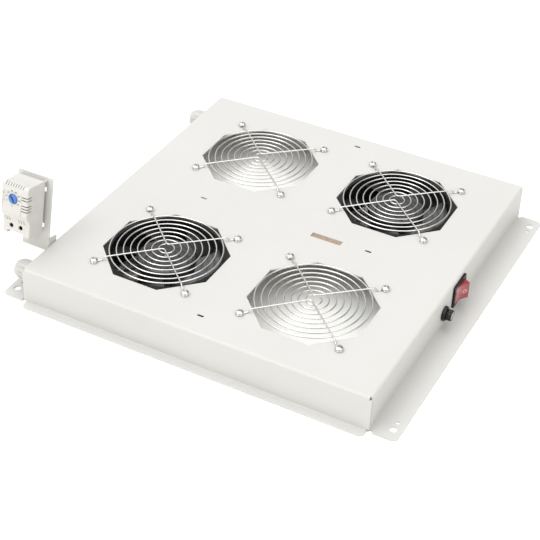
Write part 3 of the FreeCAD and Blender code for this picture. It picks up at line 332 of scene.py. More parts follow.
# ------------------------------------------------------------------ materials
class Nodes:
    def __init__(self, name):
        self.m = bpy.data.materials.new(name)
        self.m.use_nodes = True
        self.t = self.m.node_tree
        self.t.nodes.clear()
        self.out = self.t.nodes.new("ShaderNodeOutputMaterial")
        self.b = self.t.nodes.new("ShaderNodeBsdfPrincipled")
        self.t.links.new(self.b.outputs[0], self.out.inputs[0])
        self.co = self.t.nodes.new("ShaderNodeTexCoord").outputs["Object"]

    def link(self, a, b):
        self.t.links.new(a, b)

    def noise(self, scale, detail=3.0, rough=0.55, stretch=None, distort=0.0):
        n = self.t.nodes.new("ShaderNodeTexNoise")
        n.inputs["Scale"].default_value = scale
        n.inputs["Detail"].default_value = detail
        n.inputs["Roughness"].default_value = rough
        n.inputs["Distortion"].default_value = distort
        if stretch:
            mp = self.t.nodes.new("ShaderNodeMapping")
            mp.inputs["Scale"].default_value = stretch
            self.link(self.co, mp.inputs["Vector"])
            self.link(mp.outputs[0], n.inputs["Vector"])
        else:
            self.link(self.co, n.inputs["Vector"])
        return n.outputs["Fac"]

    def voronoi(self, scale, feature="F1"):
        n = self.t.nodes.new("ShaderNodeTexVoronoi")
        n.feature = feature
        n.inputs["Scale"].default_value = scale
        self.link(self.co, n.inputs["Vector"])
        return n.outputs["Distance"]

    def span(self, fac, a, b, lo=0.3, hi=0.7):
        """Maps fac from lo..hi to a..b, clamped."""
        n = self.t.nodes.new("ShaderNodeMapRange")
        n.inputs["From Min"].default_value = lo
        n.inputs["From Max"].default_value = hi
        n.inputs["To Min"].default_value = a
        n.inputs["To Max"].default_value = b
        self.link(fac, n.inputs["Value"])
        return n.outputs[0]

    def ramp(self, fac, stops):
        n = self.t.nodes.new("ShaderNodeValToRGB")
        els = n.color_ramp.elements
        while len(els) < len(stops):
            els.new(0.5)
        for e, (p, c) in zip(els, stops):
            e.position = p
            e.color = (*c, 1.0)
        self.link(fac, n.inputs[0])
        return n.outputs[0]

    def mix(self, fac, a, b):
        n = self.t.nodes.new("ShaderNodeMix")
        n.data_type = "RGBA"
        for sock, v in ((n.inputs[0], fac), (n.inputs[6], a), (n.inputs[7], b)):
            if isinstance(v, (int, float)):
                sock.default_value = v
            elif isinstance(v, tuple):
                sock.default_value = (*v, 1.0)
            else:
                self.link(v, sock)
        return n.outputs[2]

    def maths(self, op, a, b):
        n = self.t.nodes.new("ShaderNodeMath")
        n.operation = op
        for sock, v in zip(n.inputs, (a, b)):
            if isinstance(v, (int, float)):
                sock.default_value = v
            else:
                self.link(v, sock)
        return n.outputs[0]

    def bump(self, height, dist, strength=1.0, normal=None):
        n = self.t.nodes.new("ShaderNodeBump")
        n.inputs["Strength"].default_value = strength
        n.inputs["Distance"].default_value = dist
        self.link(height, n.inputs["Height"])
        if normal is not None:
            self.link(normal, n.inputs["Normal"])
        return n.outputs[0]

    def set(self, **kw):
        for k, v in kw.items():
            sock = self.b.inputs[k.replace("_", " ")]
            if isinstance(v, bpy.types.NodeSocket):
                self.link(v, sock)
            elif isinstance(v, tuple) and len(v) == 3 and sock.type == "RGBA":
                sock.default_value = (*v, 1.0)
            else:
                sock.default_value = v
        return self.m


def tint(c, k):
    return tuple(min(1.0, x * k) for x in c)


def powder(name, c, rough=0.42, grain=1.0, spec=0.45):
    """Powder coat: fine orange peel, faint shade drift, slightly glossier crowns."""
    n = Nodes(name)
    drift = n.noise(9.0, 3.0)
    speck = n.noise(1600.0, 2.0)
    base = n.ramp(drift, [(0.35, tint(c, 0.985)), (0.65, tint(c, 1.008))])
    col = n.mix(n.span(speck, 0.0, 0.10, 0.25, 0.75), base, tint(c, 0.90))
    peel = n.noise(620.0, 2.5, 0.5)
    fine = n.noise(2400.0, 1.5, 0.5)
    h = n.maths("ADD", peel, n.maths("MULTIPLY", fine, 0.35))
    return n.set(Base_Color=col, Roughness=n.span(peel, rough - 0.05, rough + 0.06),
                 Normal=n.bump(h, 0.00003 * grain, 0.55), Specular_IOR_Level=spec)


def plated(name, c, rough=0.2, grain=0.00001, scale=900.0, spots=0.0, stretch=None):
    """Plated or bare metal with a fine uneven finish."""
    n = Nodes(name)
    a = n.noise(scale, 3.0, 0.6, stretch)
    cloud = n.noise(70.0, 4.0, 0.6)
    col = n.ramp(cloud, [(0.3, tint(c, 0.94)), (0.7, tint(c, 1.03))])
    if spots:
        sp = n.span(n.voronoi(650.0), 1.0, 0.0, 0.0, 0.28)
        col = n.mix(n.maths("MULTIPLY", sp, spots), col, tint(c, 0.55))
    return n.set(Base_Color=col, Metallic=1.0, Roughness=n.span(a, rough * 0.75, rough * 1.35),
                 Normal=n.bump(a, grain, 0.5))


def moulded(name, c, rough=0.4, grain=0.00002, scale=1500.0, var=0.04, spec=0.5, coat=0.0):
    """Moulded plastic: eroded texture, slight flow marks."""
    n = Nodes(name)
    t = n.noise(scale, 2.0, 0.5)
    flow = n.noise(45.0, 3.0, 0.6, (1.0, 1.0, 3.0))
    col = n.ramp(flow, [(0.3, tint(c, 1.0 - var)), (0.7, tint(c, 1.0 + var))])
    n.set(Base_Color=col, Roughness=n.span(t, rough - 0.05, rough + 0.07), Normal=n.bump(t, grain, 0.5),
          Specular_IOR_Level=spec)
    if coat:
        n.set(Coat_Weight=coat)
    return n.m


PAINT = (0.575, 0.571, 0.555)
M = {}
M["tray_paint"] = powder("tray_paint", PAINT, 0.50, 1.0, 0.32)
M["bracket_paint"] = powder("bracket_paint", (0.63, 0.63, 0.60), 0.45)
M["guard_nickel"] = plated("guard_nickel", (0.72, 0.715, 0.70), 0.20, 0.000006, 1400.0)
M["zinc_steel"] = plated("zinc_steel", (0.74, 0.74, 0.73), 0.20, 0.00001, 1200.0, 0.12)
M["motor_steel"] = plated("motor_steel", (0.42, 0.42, 0.43), 0.36, 0.00001, 900.0, 0.2)
M["terminal_metal"] = plated("terminal_metal", (0.78, 0.72, 0.58), 0.28, 0.00001, 900.0)
M["bimetal_strip"] = plated("bimetal_strip", (0.66, 0.50, 0.32), 0.32, 0.00001, 900.0)
M["fan_frame_paint"] = powder("fan_frame_paint", (0.010, 0.010, 0.0105), 0.30, 1.2, 0.2)
M["fan_blade_black"] = moulded("fan_blade_black", (0.030, 0.030, 0.031), 0.20, 0.000010, 900.0, 0.2, 0.75)
M["winding_copper"] = plated("winding_copper", (0.62, 0.30, 0.15), 0.34, 0.00003, 500.0, 0.0, (1, 1, 6))
M["black_plastic"] = moulded("black_plastic", (0.004, 0.004, 0.004), 0.17, 0.000008, 1300.0, 0.2, 0.42)
M["gland_grey"] = moulded("gland_grey", (0.50, 0.50, 0.48), 0.42, 0.00002, 1400.0, 0.03)
M["seal_rubber"] = moulded("seal_rubber", (0.05, 0.05, 0.05), 0.65, 0.00003, 1100.0, 0.2, 0.3)
M["thermostat_white"] = moulded("thermostat_white", (0.60, 0.592, 0.56), 0.40, 0.00002, 1500.0, 0.015)
M["dial_blue"] = moulded("dial_blue", (0.070, 0.175, 0.52), 0.30, 0.00001, 1300.0, 0.06)
M["grey_plastic"] = moulded("grey_plastic", (0.36, 0.36, 0.35), 0.45, 0.00002, 1300.0, 0.05)
# black print ink for the scale, also the painted shade on the dial slot's floor
M["print_ink_and_slot_shade"] = moulded("print_ink_and_slot_shade", (0.012, 0.013, 0.015), 0.5, 0.00001, 1800.0, 0.1)
M["mark_white"] = moulded("mark_white", (0.80, 0.80, 0.78), 0.4, 0.00001, 1800.0, 0.02)
M["rocker_print"] = moulded("rocker_print", (0.76, 0.52, 0.53), 0.4, 0.00001, 1800.0, 0.02)
M["lead_insulation"] = moulded("lead_insulation", (0.03, 0.03, 0.035), 0.42, 0.00002, 900.0, 0.2)
M["lead_blue"] = moulded("lead_blue", (0.03, 0.10, 0.35), 0.42, 0.00002, 900.0, 0.1)
M["lead_brown"] = moulded("lead_brown", (0.16, 0.06, 0.025), 0.42, 0.00002, 900.0, 0.1)


def board_material():
    n = Nodes("board_tan")
    fibre = n.noise(220.0, 5.0, 0.65, (1.0, 5.0, 1.0), 0.6)
    speck = n.noise(1500.0, 2.0)
    col = n.ramp(fibre, [(0.28, (0.25, 0.155, 0.095)), (0.52, (0.37, 0.265, 0.18)), (0.75, (0.48, 0.365, 0.265))])
    col = n.mix(n.span(speck, 0.0, 0.35, 0.55, 0.8), col, (0.18, 0.10, 0.05))
    return n.set(Base_Color=col, Roughness=n.span(fibre, 0.55, 0.75), Normal=n.bump(fibre, 0.00008, 0.7))


def rocker_material():
    n = Nodes("rocker_red")
    flow = n.noise(120.0, 3.0)
    col = n.ramp(flow, [(0.3, (0.26, 0.018, 0.030)), (0.7, (0.33, 0.026, 0.040))])
    grain = n.noise(1500.0, 2.0)
    return n.set(Base_Color=col, Roughness=n.span(grain, 0.14, 0.24), Normal=n.bump(grain, 0.000008, 0.4),
                 IOR=1.49, Subsurface_Weight=0.15,
                 Subsurface_Radius=(0.004, 0.001, 0.0008), Subsurface_Scale=0.5, Coat_Weight=0.6, Coat_Roughness=0.22)


def glass_material():
    n = Nodes("fuse_glass")
    grain = n.noise(300.0, 2.0)
    return n.set(Base_Color=(0.93, 0.96, 0.96), Roughness=n.span(grain, 0.02, 0.06), Transmission_Weight=0.95, IOR=1.5)


M["dark_screw"] = plated("dark_screw", (0.07, 0.07, 0.07), 0.34, 0.00001, 900.0)
M["board_tan"] = board_material()
M["rocker_red"] = rocker_material()
M["fuse_glass"] = glass_material()

SLOT = {r["node"]: r["material_slot"] for r in frame["record"]["subparts"]}
for name, o in NODES.items():
    o.data.materials.clear()
    o.data.materials.append(M[{"thermostat_terminal_screws": "dark_screw", "thermostat_terminal_block": "black_plastic"}.get(
        name, SLOT[name])])
    for p in o.data.polygons:
        p.use_smooth = True

# ------------------------------------------------------------------ stage
bm = bmesh.new()
bmesh.ops.create_grid(bm, x_segments=1, y_segments=1, size=6.0)
me = bpy.data.meshes.new("floor")
bm.to_mesh(me)
bm.free()
floor = bpy.data.objects.new("floor", me)
COL.objects.link(floor)
n = Nodes("floor_paper")
n.set(Base_Color=n.ramp(n.noise(3.0), [(0.3, (0.975, 0.97, 0.95)), (0.7, (0.985, 0.98, 0.96))]), Roughness=0.9,
      Specular_IOR_Level=0.1)
me.materials.append(n.m)

world = bpy.data.worlds.new("studio")
bpy.context.scene.world = world
world.use_nodes = True
world.node_tree.nodes["Background"].inputs[0].default_value = (1.0, 0.985, 0.95, 1.0)
world.node_tree.nodes["Background"].inputs[1].default_value = 0.36


def sun(name, towards, strength, angle, colour=(1, 1, 1)):
    l = bpy.data.lights.new(name, "SUN")
    l.energy = strength
    l.angle = math.radians(angle)
    l.color = colour
    o = bpy.data.objects.new(name, l)
    COL.objects.link(o)
    o.rotation_euler = (-V(towards)).to_track_quat("-Z", "Y").to_euler()
    return o


sun("overhead", (-0.06, -0.10, 1.0), 2.28, 78.0, (0.99, 0.995, 1.0))
sun("front_fill", (-0.22, -0.95, 0.40), 0.80, 60.0, (1.0, 0.995, 0.98))
sun("key", (-0.36, -0.45, 0.80), 0.50, 24.0, (1.0, 0.995, 0.985))
sun("left_back_fill", (-0.72, 0.42, 0.56), 0.80, 80.0, (1.0, 0.995, 0.99))
sun("right_fill", (0.90, -0.15, 0.35), 0.85, 60.0, (1.0, 0.985, 0.95))

cam_data = bpy.data.cameras.new("camera")
cam_data.lens = 92.198
cam_data.sensor_width = 36.0
cam_data.clip_start = 0.05
cam_data.clip_end = 30.0
cam = bpy.data.objects.new("camera", cam_data)
COL.objects.link(cam)
R = ((0.882835703260371, 0.46856963421063813, 0.03230509161842868),
     (0.3039155509876173, -0.5174599957054655, -0.7999190525999442),
     (-0.35810118530473933, 0.7160151190723616, -0.5992377577749355))
X, Y, Z = V(R[0]), -V(R[1]), -V(R[2])
cam.matrix_world = Matrix(((X.x, Y.x, Z.x, 0.5127814), (X.y, Y.y, Z.y, -1.0572621), (X.z, Y.z, Z.z, 0.8618194),
                           (0, 0, 0, 1)))
bpy.context.scene.camera = cam
bpy.context.scene.view_settings.view_transform = "Standard"
bpy.context.scene.view_settings.look = "None"
bpy.context.scene.cycles.use_denoising = True

JT = {j["name"]: j for j in frame["joints"]}

# ------------------------------------------------------------------ guards
GUARDS = [n for n in NODES if n.startswith("guard_") and n != "guard_screws"]


def guard(node):
    lo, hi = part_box(node)
    cx, cy = (lo.x + hi.x) / 2 / S, (lo.y + hi.y) / 2 / S
    rz, sz, ez = hi.z / S - 2.55, hi.z / S - 0.92, lo.z / S + 0.82
    h = 52.4
    bm = bmesh.new()
    for k in range(8):
        r = 57.2 - 7.05 * k
        n = max(40, int(r * 2.4))
        merge(bm, lathe([(r + 0.8 * math.cos(a), rz + 0.8 * math.sin(a))
                         for a in [2 * math.pi * i / 10 for i in range(10)]], n))
    for gy, (bx, by) in ((1, (-1.8, 4.2)), (-1, (-1.2, -2.6))):
        path = []
        for gx in (-1, 1):
            c = V((gx * h, gy * h, 0))
            d = (V((bx, by, 0)) - c).normalized()
            phi = math.atan2(d.y, d.x)
            side = -gx * gy
            loop = []
            for i in range(31):
                a = phi + side * math.radians(316 - 302 * i / 30)
                loop.append(V((c.x + 3.3 * math.cos(a), c.y + 3.3 * math.sin(a), ez)))
            run = [c + d * 4.6 + V((0, 0, ez)), c + d * 7.3 + V((0, 0, ez)), c + d * 8.2 + V((0, 0, ez + 0.25)),
                   c + d * 11.2 + V((0, 0, sz - 0.25)), c + d * 12.1 + V((0, 0, sz))]
            arm = chaikin(loop + run, 1)
            path += arm if gx < 0 else [V(p) for p in rounded(
                [tuple(path[-1]), (bx, by, sz), tuple(arm[-1])], 3.5, 8, closed=False)][1:-1] + arm[::-1]
        merge(bm, wire(path, 0.82, 12))
        for gx in (-1, 1):
            c = V((gx * h, gy * h, 0))
            p0 = V((bx, by, 0))
            d = c - p0
            for k in range(8):
                r = 57.2 - 7.05 * k
                qa, qb, qc = d.dot(d), 2 * p0.dot(d), p0.dot(p0) - r * r
                disc = qb * qb - 4 * qa * qc
                if disc <= 0:
                    continue
                t = (-qb + math.sqrt(disc)) / (2 * qa)
                if not 0.02 < t < 0.85:
                    continue
                q = p0 + d * t
                blob = bmesh.new()
                bmesh.ops.create_uvsphere(blob, u_segments=10, v_segments=7, radius=S)
                blob.transform(turned(q.x, q.y, (rz + sz) / 2, rz=math.degrees(math.atan2(d.y, d.x))) @
                               Matrix.Diagonal((1.25, 0.95, 0.62, 1)))
                merge(bm, blob)
    add(node + "_wires", bm, M["guard_nickel"], "tray", 60, [node], turned(cx, cy))


for node in sorted(GUARDS):
    guard(node)


# ------------------------------------------------------------------ screws
def pan_head(head, rise, shank, run, slot=1.0):
    """A pan-head cross-recess screw, its head on z = 0."""
    prof = [(0, -run), (shank - 0.35, -run), (shank, -run + 0.35)]
    z = -run + 0.35
    while z < -0.9:
        prof += [(shank, z + 0.1), (shank - 0.28, z + 0.35), (shank, z + 0.6)]
        z += 0.7
    prof += [(shank, 0), (head - 0.12, 0), (head, 0.14), (head, rise * 0.30)]
    for i in range(1, 9):
        a = math.pi / 2 * i / 9
        prof.append((head * math.cos(a) ** 0.8, rise * 0.30 + rise * 0.70 * math.sin(a)))
    prof.append((0, rise))
    bm = lathe(prof, 28, closed=False)
    cuts = []
    for k in (0, 90):
        c = bmesh.new()
        w, l, dpt = 0.8 * slot, head * 0.62, rise * 0.85
        vs = [c.verts.new(V(p) * S) for p in
              ((-l, -w, rise + 0.5), (l, -w, rise + 0.5), (l, w, rise + 0.5), (-l, w, rise + 0.5),
               (-l * 0.35, -w * 0.7, rise - dpt), (l * 0.35, -w * 0.7, rise - dpt),
               (l * 0.35, w * 0.7, rise - dpt), (-l * 0.35, w * 0.7, rise - dpt))]
        for f in ((0, 1, 2, 3), (4, 7, 6, 5), (0, 4, 5, 1), (1, 5, 6, 2), (2, 6, 7, 3), (3, 7, 4, 0)):
            c.faces.new([vs[i] for i in f])
        c.transform(Matrix.Rotation(math.radians(k), 4, "Z"))
        cuts.append(c)
    return carve(bm, cuts)


def spread(one, places, name, mat, body, node, sharp=34):
    bm = bmesh.new()
    for m in places:
        merge(bm, one.copy(), m)
    one.free()
    return add(name, bm, M[mat], body, sharp, [node] if node else [])


head_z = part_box("guard_screws")[1].z / S - 2.7
places = []
for i, node in enumerate(sorted(GUARDS)):
    c = mid(node) / S
    for j, (gx, gy) in enumerate(((-1, -1), (1, -1), (1, 1), (-1, 1))):
        places.append(turned(c.x + gx * 52.4, c.y + gy * 52.4, head_z, rz=(37 * i + 23 * j) % 90))
spread(pan_head(4.1, 2.7, 2.0, 12.0), places, "guard_screws_turned", "zinc_steel", "tray", "guard_screws")


# ------------------------------------------------------------------ fans
def impeller(key):
    node = "impeller_" + key
    lo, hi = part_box(node)
    top = hi.z / S
    z0 = top + 3.6
    cx, cy = mid("fan_shaft_" + key).x / S, mid("fan_shaft_" + key).y / S
    bm = lathe(rounded([(2.5, -3.6), (26.5, -3.6), (28.8, -4.3), (30, -6.2), (30, -32.0), (28, -32.0), (28, -7.2),
                        (26, -5.8), (5.0, -5.8), (5.0, -8.6), (2.5, -8.6)],
                       [0.3, 3, 2, 1.5, 0.5, 0.5, 1, 1, 0.4, 0.4, 0.4], 4), 96)
    merge(bm, lathe([(20.2, -3.75), (20.4, -3.45), (20.9, -3.45), (21.1, -3.75)], 96))
    nr, nc = 14, 18
    for k in range(7):
        rows = []
        for i in range(nr + 1):
            f = i / nr
            r = 29.4 + (55.5 - 29.4) * f
            g = (r - 29.2) / (56.5 - 29.2)
            pitch = math.radians(38 - 14 * g)
            chord = 22.0 / math.sin(pitch) * (0.78 + 0.14 * g)
            th = 2.1 - 0.9 * g
            sweep = math.radians(-6 + 12 * g)
            ring = []
            for side in (1, -1):
                for j in range(nc + 1) if side > 0 else range(nc, -1, -1):
                    c = j / nc
                    camber = 0.09 * chord * 4 * c * (1 - c)
                    thick = th / 2 * (0.35 + 2.6 * c * (1 - c))
                    u, w = (c - 0.5) * chord, camber + side * thick
                    a = u * math.cos(pitch) - w * math.sin(pitch)
                    z = u * math.sin(pitch) + w * math.cos(pitch)
                    phi = a / r + sweep + math.radians(360.0 / 7 * k + 20)
                    ring.append(bm.verts.new((r * S * math.cos(phi), r * S * math.sin(phi), (-19.0 + z) * S)))
            rows.append(ring)
        m = len(rows[0])
        for i in range(nr):
            for j in range(m):
                bm.faces.new((rows[i][j], rows[i][(j + 1) % m], rows[i + 1][(j + 1) % m], rows[i + 1][j]))
        bm.faces.new(rows[0][::-1])
        bm.faces.new(rows[-1])
    add("impeller_moulded_" + key, bm, M["fan_blade_black"], "fan_" + key, 50, [node],
        turned(cx, cy, z0))


for key in ("front_left", "rear_right"):
    impeller(key)

# ------------------------------------------------------------------ switch
SW = [v / S for v in JT["power_rocker"]["pos_m"]]
lo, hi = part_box("switch_housing")
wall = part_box("fuse_holder_nut")[1].x / S + 1.5
bez = [(-15.05, -12.75), (15.05, -12.75), (15.05, 12.75), (-15.05, 12.75)]


def panel(y, z, x=0.0):
    """Frame looking out of the right wall: local x along +Y, local y up, local z outwards."""
    return Matrix(((0, 0, 1, x * S), (1, 0, 0, y * S), (0, 1, 0, z * S), (0, 0, 0, 1)))


flange = prism(rounded(bez, 1.7, 6), 0.0, 2.6)
rim = [e for e in flange.edges if all(abs(v.co.z - 2.6 * S) < 1e-7 for v in e.verts)]
bmesh.ops.bevel(flange, geom=rim, offset=0.75 * S, segments=4, affect="EDGES", profile=0.5)
barrel = prism(rounded([(-14.4, -10.8), (14.4, -10.8), (14.4, 10.8), (-14.4, 10.8)], 0.8, 3), -24.0, 0.4, 0.3)
well = prism(rounded([(-13.35, -9.5), (13.35, -9.5), (13.35, 9.5), (-13.35, 9.5)], 0.9, 4), -9.4, 3.6)
lip = prism(rounded([(-13.75, -9.95), (13.75, -9.95), (13.75, 9.95), (-13.75, 9.95)], 1.2, 4), 2.15, 3.6)
pin = rod(1.56, -10.6, 10.6, 20, 0.1)
pin.transform(Matrix.Translation(V((0, 0, -3.4)) * S) @ Matrix.Rotation(math.radians(90), 4, "X"))
snaps = []
for e in (-1, 1):
    s = bmesh.new()
    vs = [s.verts.new(V(p) * S) for p in ((e * 14.3, -4, -1.6), (e * 14.3, 4, -1.6), (e * 14.3, 4, -8.4), (e * 14.3, -4, -8.4),
                                          (e * 15.2, -4, -1.6), (e * 15.2, 4, -1.6), (e * 14.5, 4, -8.4), (e * 14.5, -4, -8.4))]
    for f in ((0, 1, 2, 3), (4, 7, 6, 5), (0, 4, 5, 1), (1, 5, 6, 2), (2, 6, 7, 3), (3, 7, 4, 0)):
        s.faces.new([vs[i] for i in f])
    snaps.append(s)
bm = carve(flange, [well, lip, pin], [barrel, snaps[0]])
snaps[1].free()
add("switch_bezel", bm, M["black_plastic"], "tray", 35, ["switch_housing"], panel(SW[1], SW[2], wall))

ROCK = 20.0
prof = [(-11.6, 2.6), (-11.5, 4.6)]


def dish(u):
    return 10.3 - 2.3 * (1 - (u / 10.0) ** 2)


prof += [(-10.15, 9.7), (-9.85, 10.15)]
for k in range(0, 19):
    u = -9.2 + 18.4 * k / 18.0
    prof.append((u, dish(u) - 0.02))
prof += [(9.85, 10.15), (10.15, 9.7), (11.5, 4.6), (11.6, 2.6), (9.6, -1.9), (-9.6, -1.9)]
rock = prism(prof, -9.2, 9.2)
rim = [e for e in rock.edges if abs(e.verts[0].co.z - e.verts[1].co.z) < 1e-9]
bmesh.ops.bevel(rock, geom=rim, offset=0.28 * S, segments=2, affect="EDGES", profile=0.5)
merge(rock, rod(1.5, -10.5, 10.5, 20, 0.15))
# local (u, w, z) to the world: w points outwards, u to the back, both turned by the rocker's rest tilt
ca, sa = math.cos(math.radians(ROCK)), math.sin(math.radians(ROCK))
RM = Matrix(((sa, ca, 0, SW[0] * S), (ca, -sa, 0, SW[1] * S), (0, 0, 1, SW[2] * S), (0, 0, 0, 1)))
add("rocker_moulded", rock, M["rocker_red"], "rocker", 35, ["switch_rocker"], RM)


def mark(outline_out, outline_in, name):
    """A printed mark laid on the dished face: outlines in (u, z)."""
    bm = bmesh.new()
    rows = []
    for pts in (outline_out, outline_in):
        for h in (-0.06, 0.05):
            rows.append([bm.verts.new(V((u, dish(u) + h, z)) * S) for u, z in pts])
    n = len(outline_out)
    a0, a1, b0, b1 = rows
    for i in range(n):
        j = (i + 1) % n
        for q in ((a1[i], a1[j], b1[j], b1[i]), (a0[i], b0[i], b0[j], a0[j]), (a0[i], a0[j], a1[j], a1[i]),
                  (b0[i], b1[i], b1[j], b0[j])):
            bm.faces.new(q)
    add(name, bm, M["rocker_print"], "rocker", 40, [], RM)


ring = [2 * math.pi * i / 40 for i in range(40)]
mark([(5.4 + 2.15 * math.cos(a), 2.15 * math.sin(a)) for a in ring],
     [(5.4 + 1.65 * math.cos(a), 1.65 * math.sin(a)) for a in ring], "rocker_mark_off")
bar = rounded([(-6.05, -1.9), (-5.55, -1.9), (-5.55, 1.9), (-6.05, 1.9)], 0.15, 3)
core = [(-5.8 + (u + 5.8) * 0.05, z * 0.9) for u, z in bar]
mark(bar, core, "rocker_mark_on")

# ------------------------------------------------------------------ fuse holder
FU = [v / S for v in JT["fuse_cap_turn"]["pos_m"]]


def outward(x, y, z):
    """Frame with local z along +X at a point of the right wall (mm)."""
    return Matrix(((0, 0, 1, x * S), (1, 0, 0, y * S), (0, 1, 0, z * S), (0, 0, 0, 1)))


AT = outward(wall, FU[1], FU[2])
c = 7.6 / math.cos(math.pi / 12)
twelve = prism([(c * math.cos(math.pi / 6 * i + math.pi / 12), c * math.sin(math.pi / 6 * i + math.pi / 12))
                for i in range(12)], 0.0, 3.2)
top = [e for e in twelve.edges if all(abs(v.co.z - 3.2 * S) < 1e-7 for v in e.verts)]
bmesh.ops.bevel(twelve, geom=top, offset=0.45 * S, segments=3, affect="EDGES", profile=0.5)
tube_ = rod(6.2, -31.0, 0.5, 48, 0.3)
lip_ = lathe([(0, 2.8), (6.9, 2.8), (6.9, 3.5), (6.7, 3.7), (0, 3.7)], 64, closed=False)
hollow = rod(5.2, -29.5, 10.5, 48, 0.01)
step = rod(5.95, 3.15, 10.0, 64, 0.01)
threads = []
bm = carve(twelve, [hollow, step], [tube_, lip_])
for k in range(9):
    zz = -19.0 + 1.4 * k
    merge(bm, lathe([(6.15, zz), (6.5, zz + 0.35), (6.5, zz + 0.55), (6.15, zz + 0.9)], 48))
add("fuse_holder_moulded", bm, M["black_plastic"], "tray", 30, ["fuse_holder_body"], AT)

lo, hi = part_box("fuse_cap")
face = hi.x / S - wall


def knurl(r, z, a):
    if 5.5 < r and face - 5.6 < z < face - 1.1:
        k = (a * 24 / (2 * math.pi)) % 1.0
        return r - 0.34 * max(0.0, 1 - abs(k - 0.5) * 5.0)
    return r


prof = [(0, face - 0.35), (4.35, face - 0.35), (4.5, face), (4.8, face), (5.25, face - 0.2), (5.5, face - 0.5),
        (5.65, face - 1.1), (5.7, face - 1.3), (5.7, face - 1.8), (5.7, face - 3.6), (5.7, face - 5.1), (5.62, face - 5.4),
        (4.9, face - 5.4), (4.9, face - 17.2), (4.7, face - 17.4), (2.75, face - 17.4), (2.75, face - 7.8), (0, face - 7.8)]
cap = lathe(prof, 192, closed=False, wave=knurl)
slot_cut = block((-3.8, -0.65, face - 1.4), (3.8, 0.65, face + 1.0), 0.15, 1)
slot_cut.transform(Matrix.Rotation(math.radians(28), 4, "Z"))
cap = carve(cap, [slot_cut])
add("fuse_cap_moulded", cap, M["black_plastic"], "fuse_cap", 30, ["fuse_cap"], AT)
disc = lathe([(0, face - 0.5), (4.25, face - 0.5), (4.25, face - 0.12), (4.1, face + 0.0), (0, face + 0.0)], 72, closed=False)
slot_cut = block((-3.8, -0.65, face - 3), (3.8, 0.65, face + 1.0), 0.15, 1)
slot_cut.transform(Matrix.Rotation(math.radians(28), 4, "Z"))
add("fuse_cap_face", carve(disc, [slot_cut]), M["zinc_steel"], "fuse_cap", 30, [], AT)
lo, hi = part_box("fuse_link")
x0, x1 = lo.x / S - wall, hi.x / S - wall
glass = lathe([(0, x0 + 1.0), (2.45, x0 + 1.0), (2.45, x1 - 1.0), (0, x1 - 1.0)], 32, closed=False)
add("fuse_link_glass", glass, M["fuse_glass"], "fuse_carrier", 40, ["fuse_link"], AT)
ends = lathe([(0, x0), (2.4, x0), (2.6, x0 + 0.2), (2.6, x0 + 5.0), (2.46, x0 + 5.0), (2.46, x0 + 0.8), (0, x0 + 0.8)], 32,
             closed=False)
merge(ends, lathe([(0, x1), (2.4, x1), (2.6, x1 - 0.2), (2.6, x1 - 5.0), (2.46, x1 - 5.0), (2.46, x1 - 0.8),
                   (0, x1 - 0.8)], 32, closed=False))
add("fuse_link_caps", ends, M["terminal_metal"], "fuse_carrier", 30, [], AT)


# ------------------------------------------------------------------ glands
def gland(tag):
    px, py, pz = [v / S for v in JT["gland_nut_%s_turn" % tag]["pos_m"]]
    lo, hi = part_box("gland_dome_nut_" + tag)
    wx = lo.x / S + 19.9            # the wall's outer face
    at = Matrix(((0, 0, -1, wx * S), (0, 1, 0, py * S), (1, 0, 0, pz * S), (0, 0, 0, 1)))
    c = 20.0 / math.sqrt(3)
    hexa = prism([(c * math.cos(math.pi / 3 * i), c * math.sin(math.pi / 3 * i)) for i in range(6)], 0.0, 5.0)
    up = [e for e in hexa.edges if all(abs(v.co.z - 5.0 * S) < 1e-7 for v in e.verts)]
    bmesh.ops.bevel(hexa, geom=up, offset=0.7 * S, segments=3, affect="EDGES", profile=0.5)
    prof = [(4.6, -9.4), (7.6, -9.4)]
    z = -9.0
    while z < -0.6:
        prof += [(7.98, z + 0.2), (7.98, z + 0.45), (7.55, z + 0.8), (7.55, z + 0.95)]
        z += 1.2
    prof += [(8.0, 0), (8.0, 13.6), (6.2, 13.6), (6.2, 6.6), (4.6, 6.6)]
    core = lathe(prof, 64)
    bore = rod(7.0, -1.0, 7.0, 48, 0.01)
    bm = carve(hexa, [bore])
    merge(bm, core)
    add("gland_body_moulded_" + tag, bm, M["gland_grey"], "tray", 32, ["gland_body_" + tag], at)

    def ribs(r, z, a):
        k = (a * 12 / (2 * math.pi)) % 1.0
        d = max(0.0, 1 - abs(k - 0.5) * 6.0)
        if r > 10.0 and z < 14.8:
            return r - 0.75 * math.sqrt(d)
        return r
    prof = rounded([(8.06, 5.3), (10.5, 5.3), (10.7, 5.8), (10.7, 13.6), (10.3, 15.2), (9.2, 17.4), (8.6, 19.0),
                    (7.9, 19.9), (5.6, 19.9), (5.1, 19.3), (5.1, 17.8), (7.0, 15.6), (8.06, 14.2)],
                   [0.2, 0.3, 0.2, 1.5, 2.0, 1.5, 0.8, 0.5, 0.4, 0.3, 0.5, 0.5, 0.5], 3)
    add("gland_dome_moulded_" + tag, lathe(prof, 144, wave=ribs), M["gland_grey"], "gland_nut_" + tag, 35,
        ["gland_dome_nut_" + tag], at)
    seal = lathe(rounded([(3.4, 6.9), (6.15, 6.9), (6.15, 13.9), (4.8, 16.6), (3.4, 16.6)], [0.3, 0.3, 0.6, 0.5, 0.5], 3), 48)
    add("gland_seal_moulded_" + tag, seal, M["seal_rubber"], NODES["gland_seal_" + tag]["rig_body"], 35,
        ["gland_seal_" + tag], at)


for tag in ("front", "rear"):
    gland(tag)

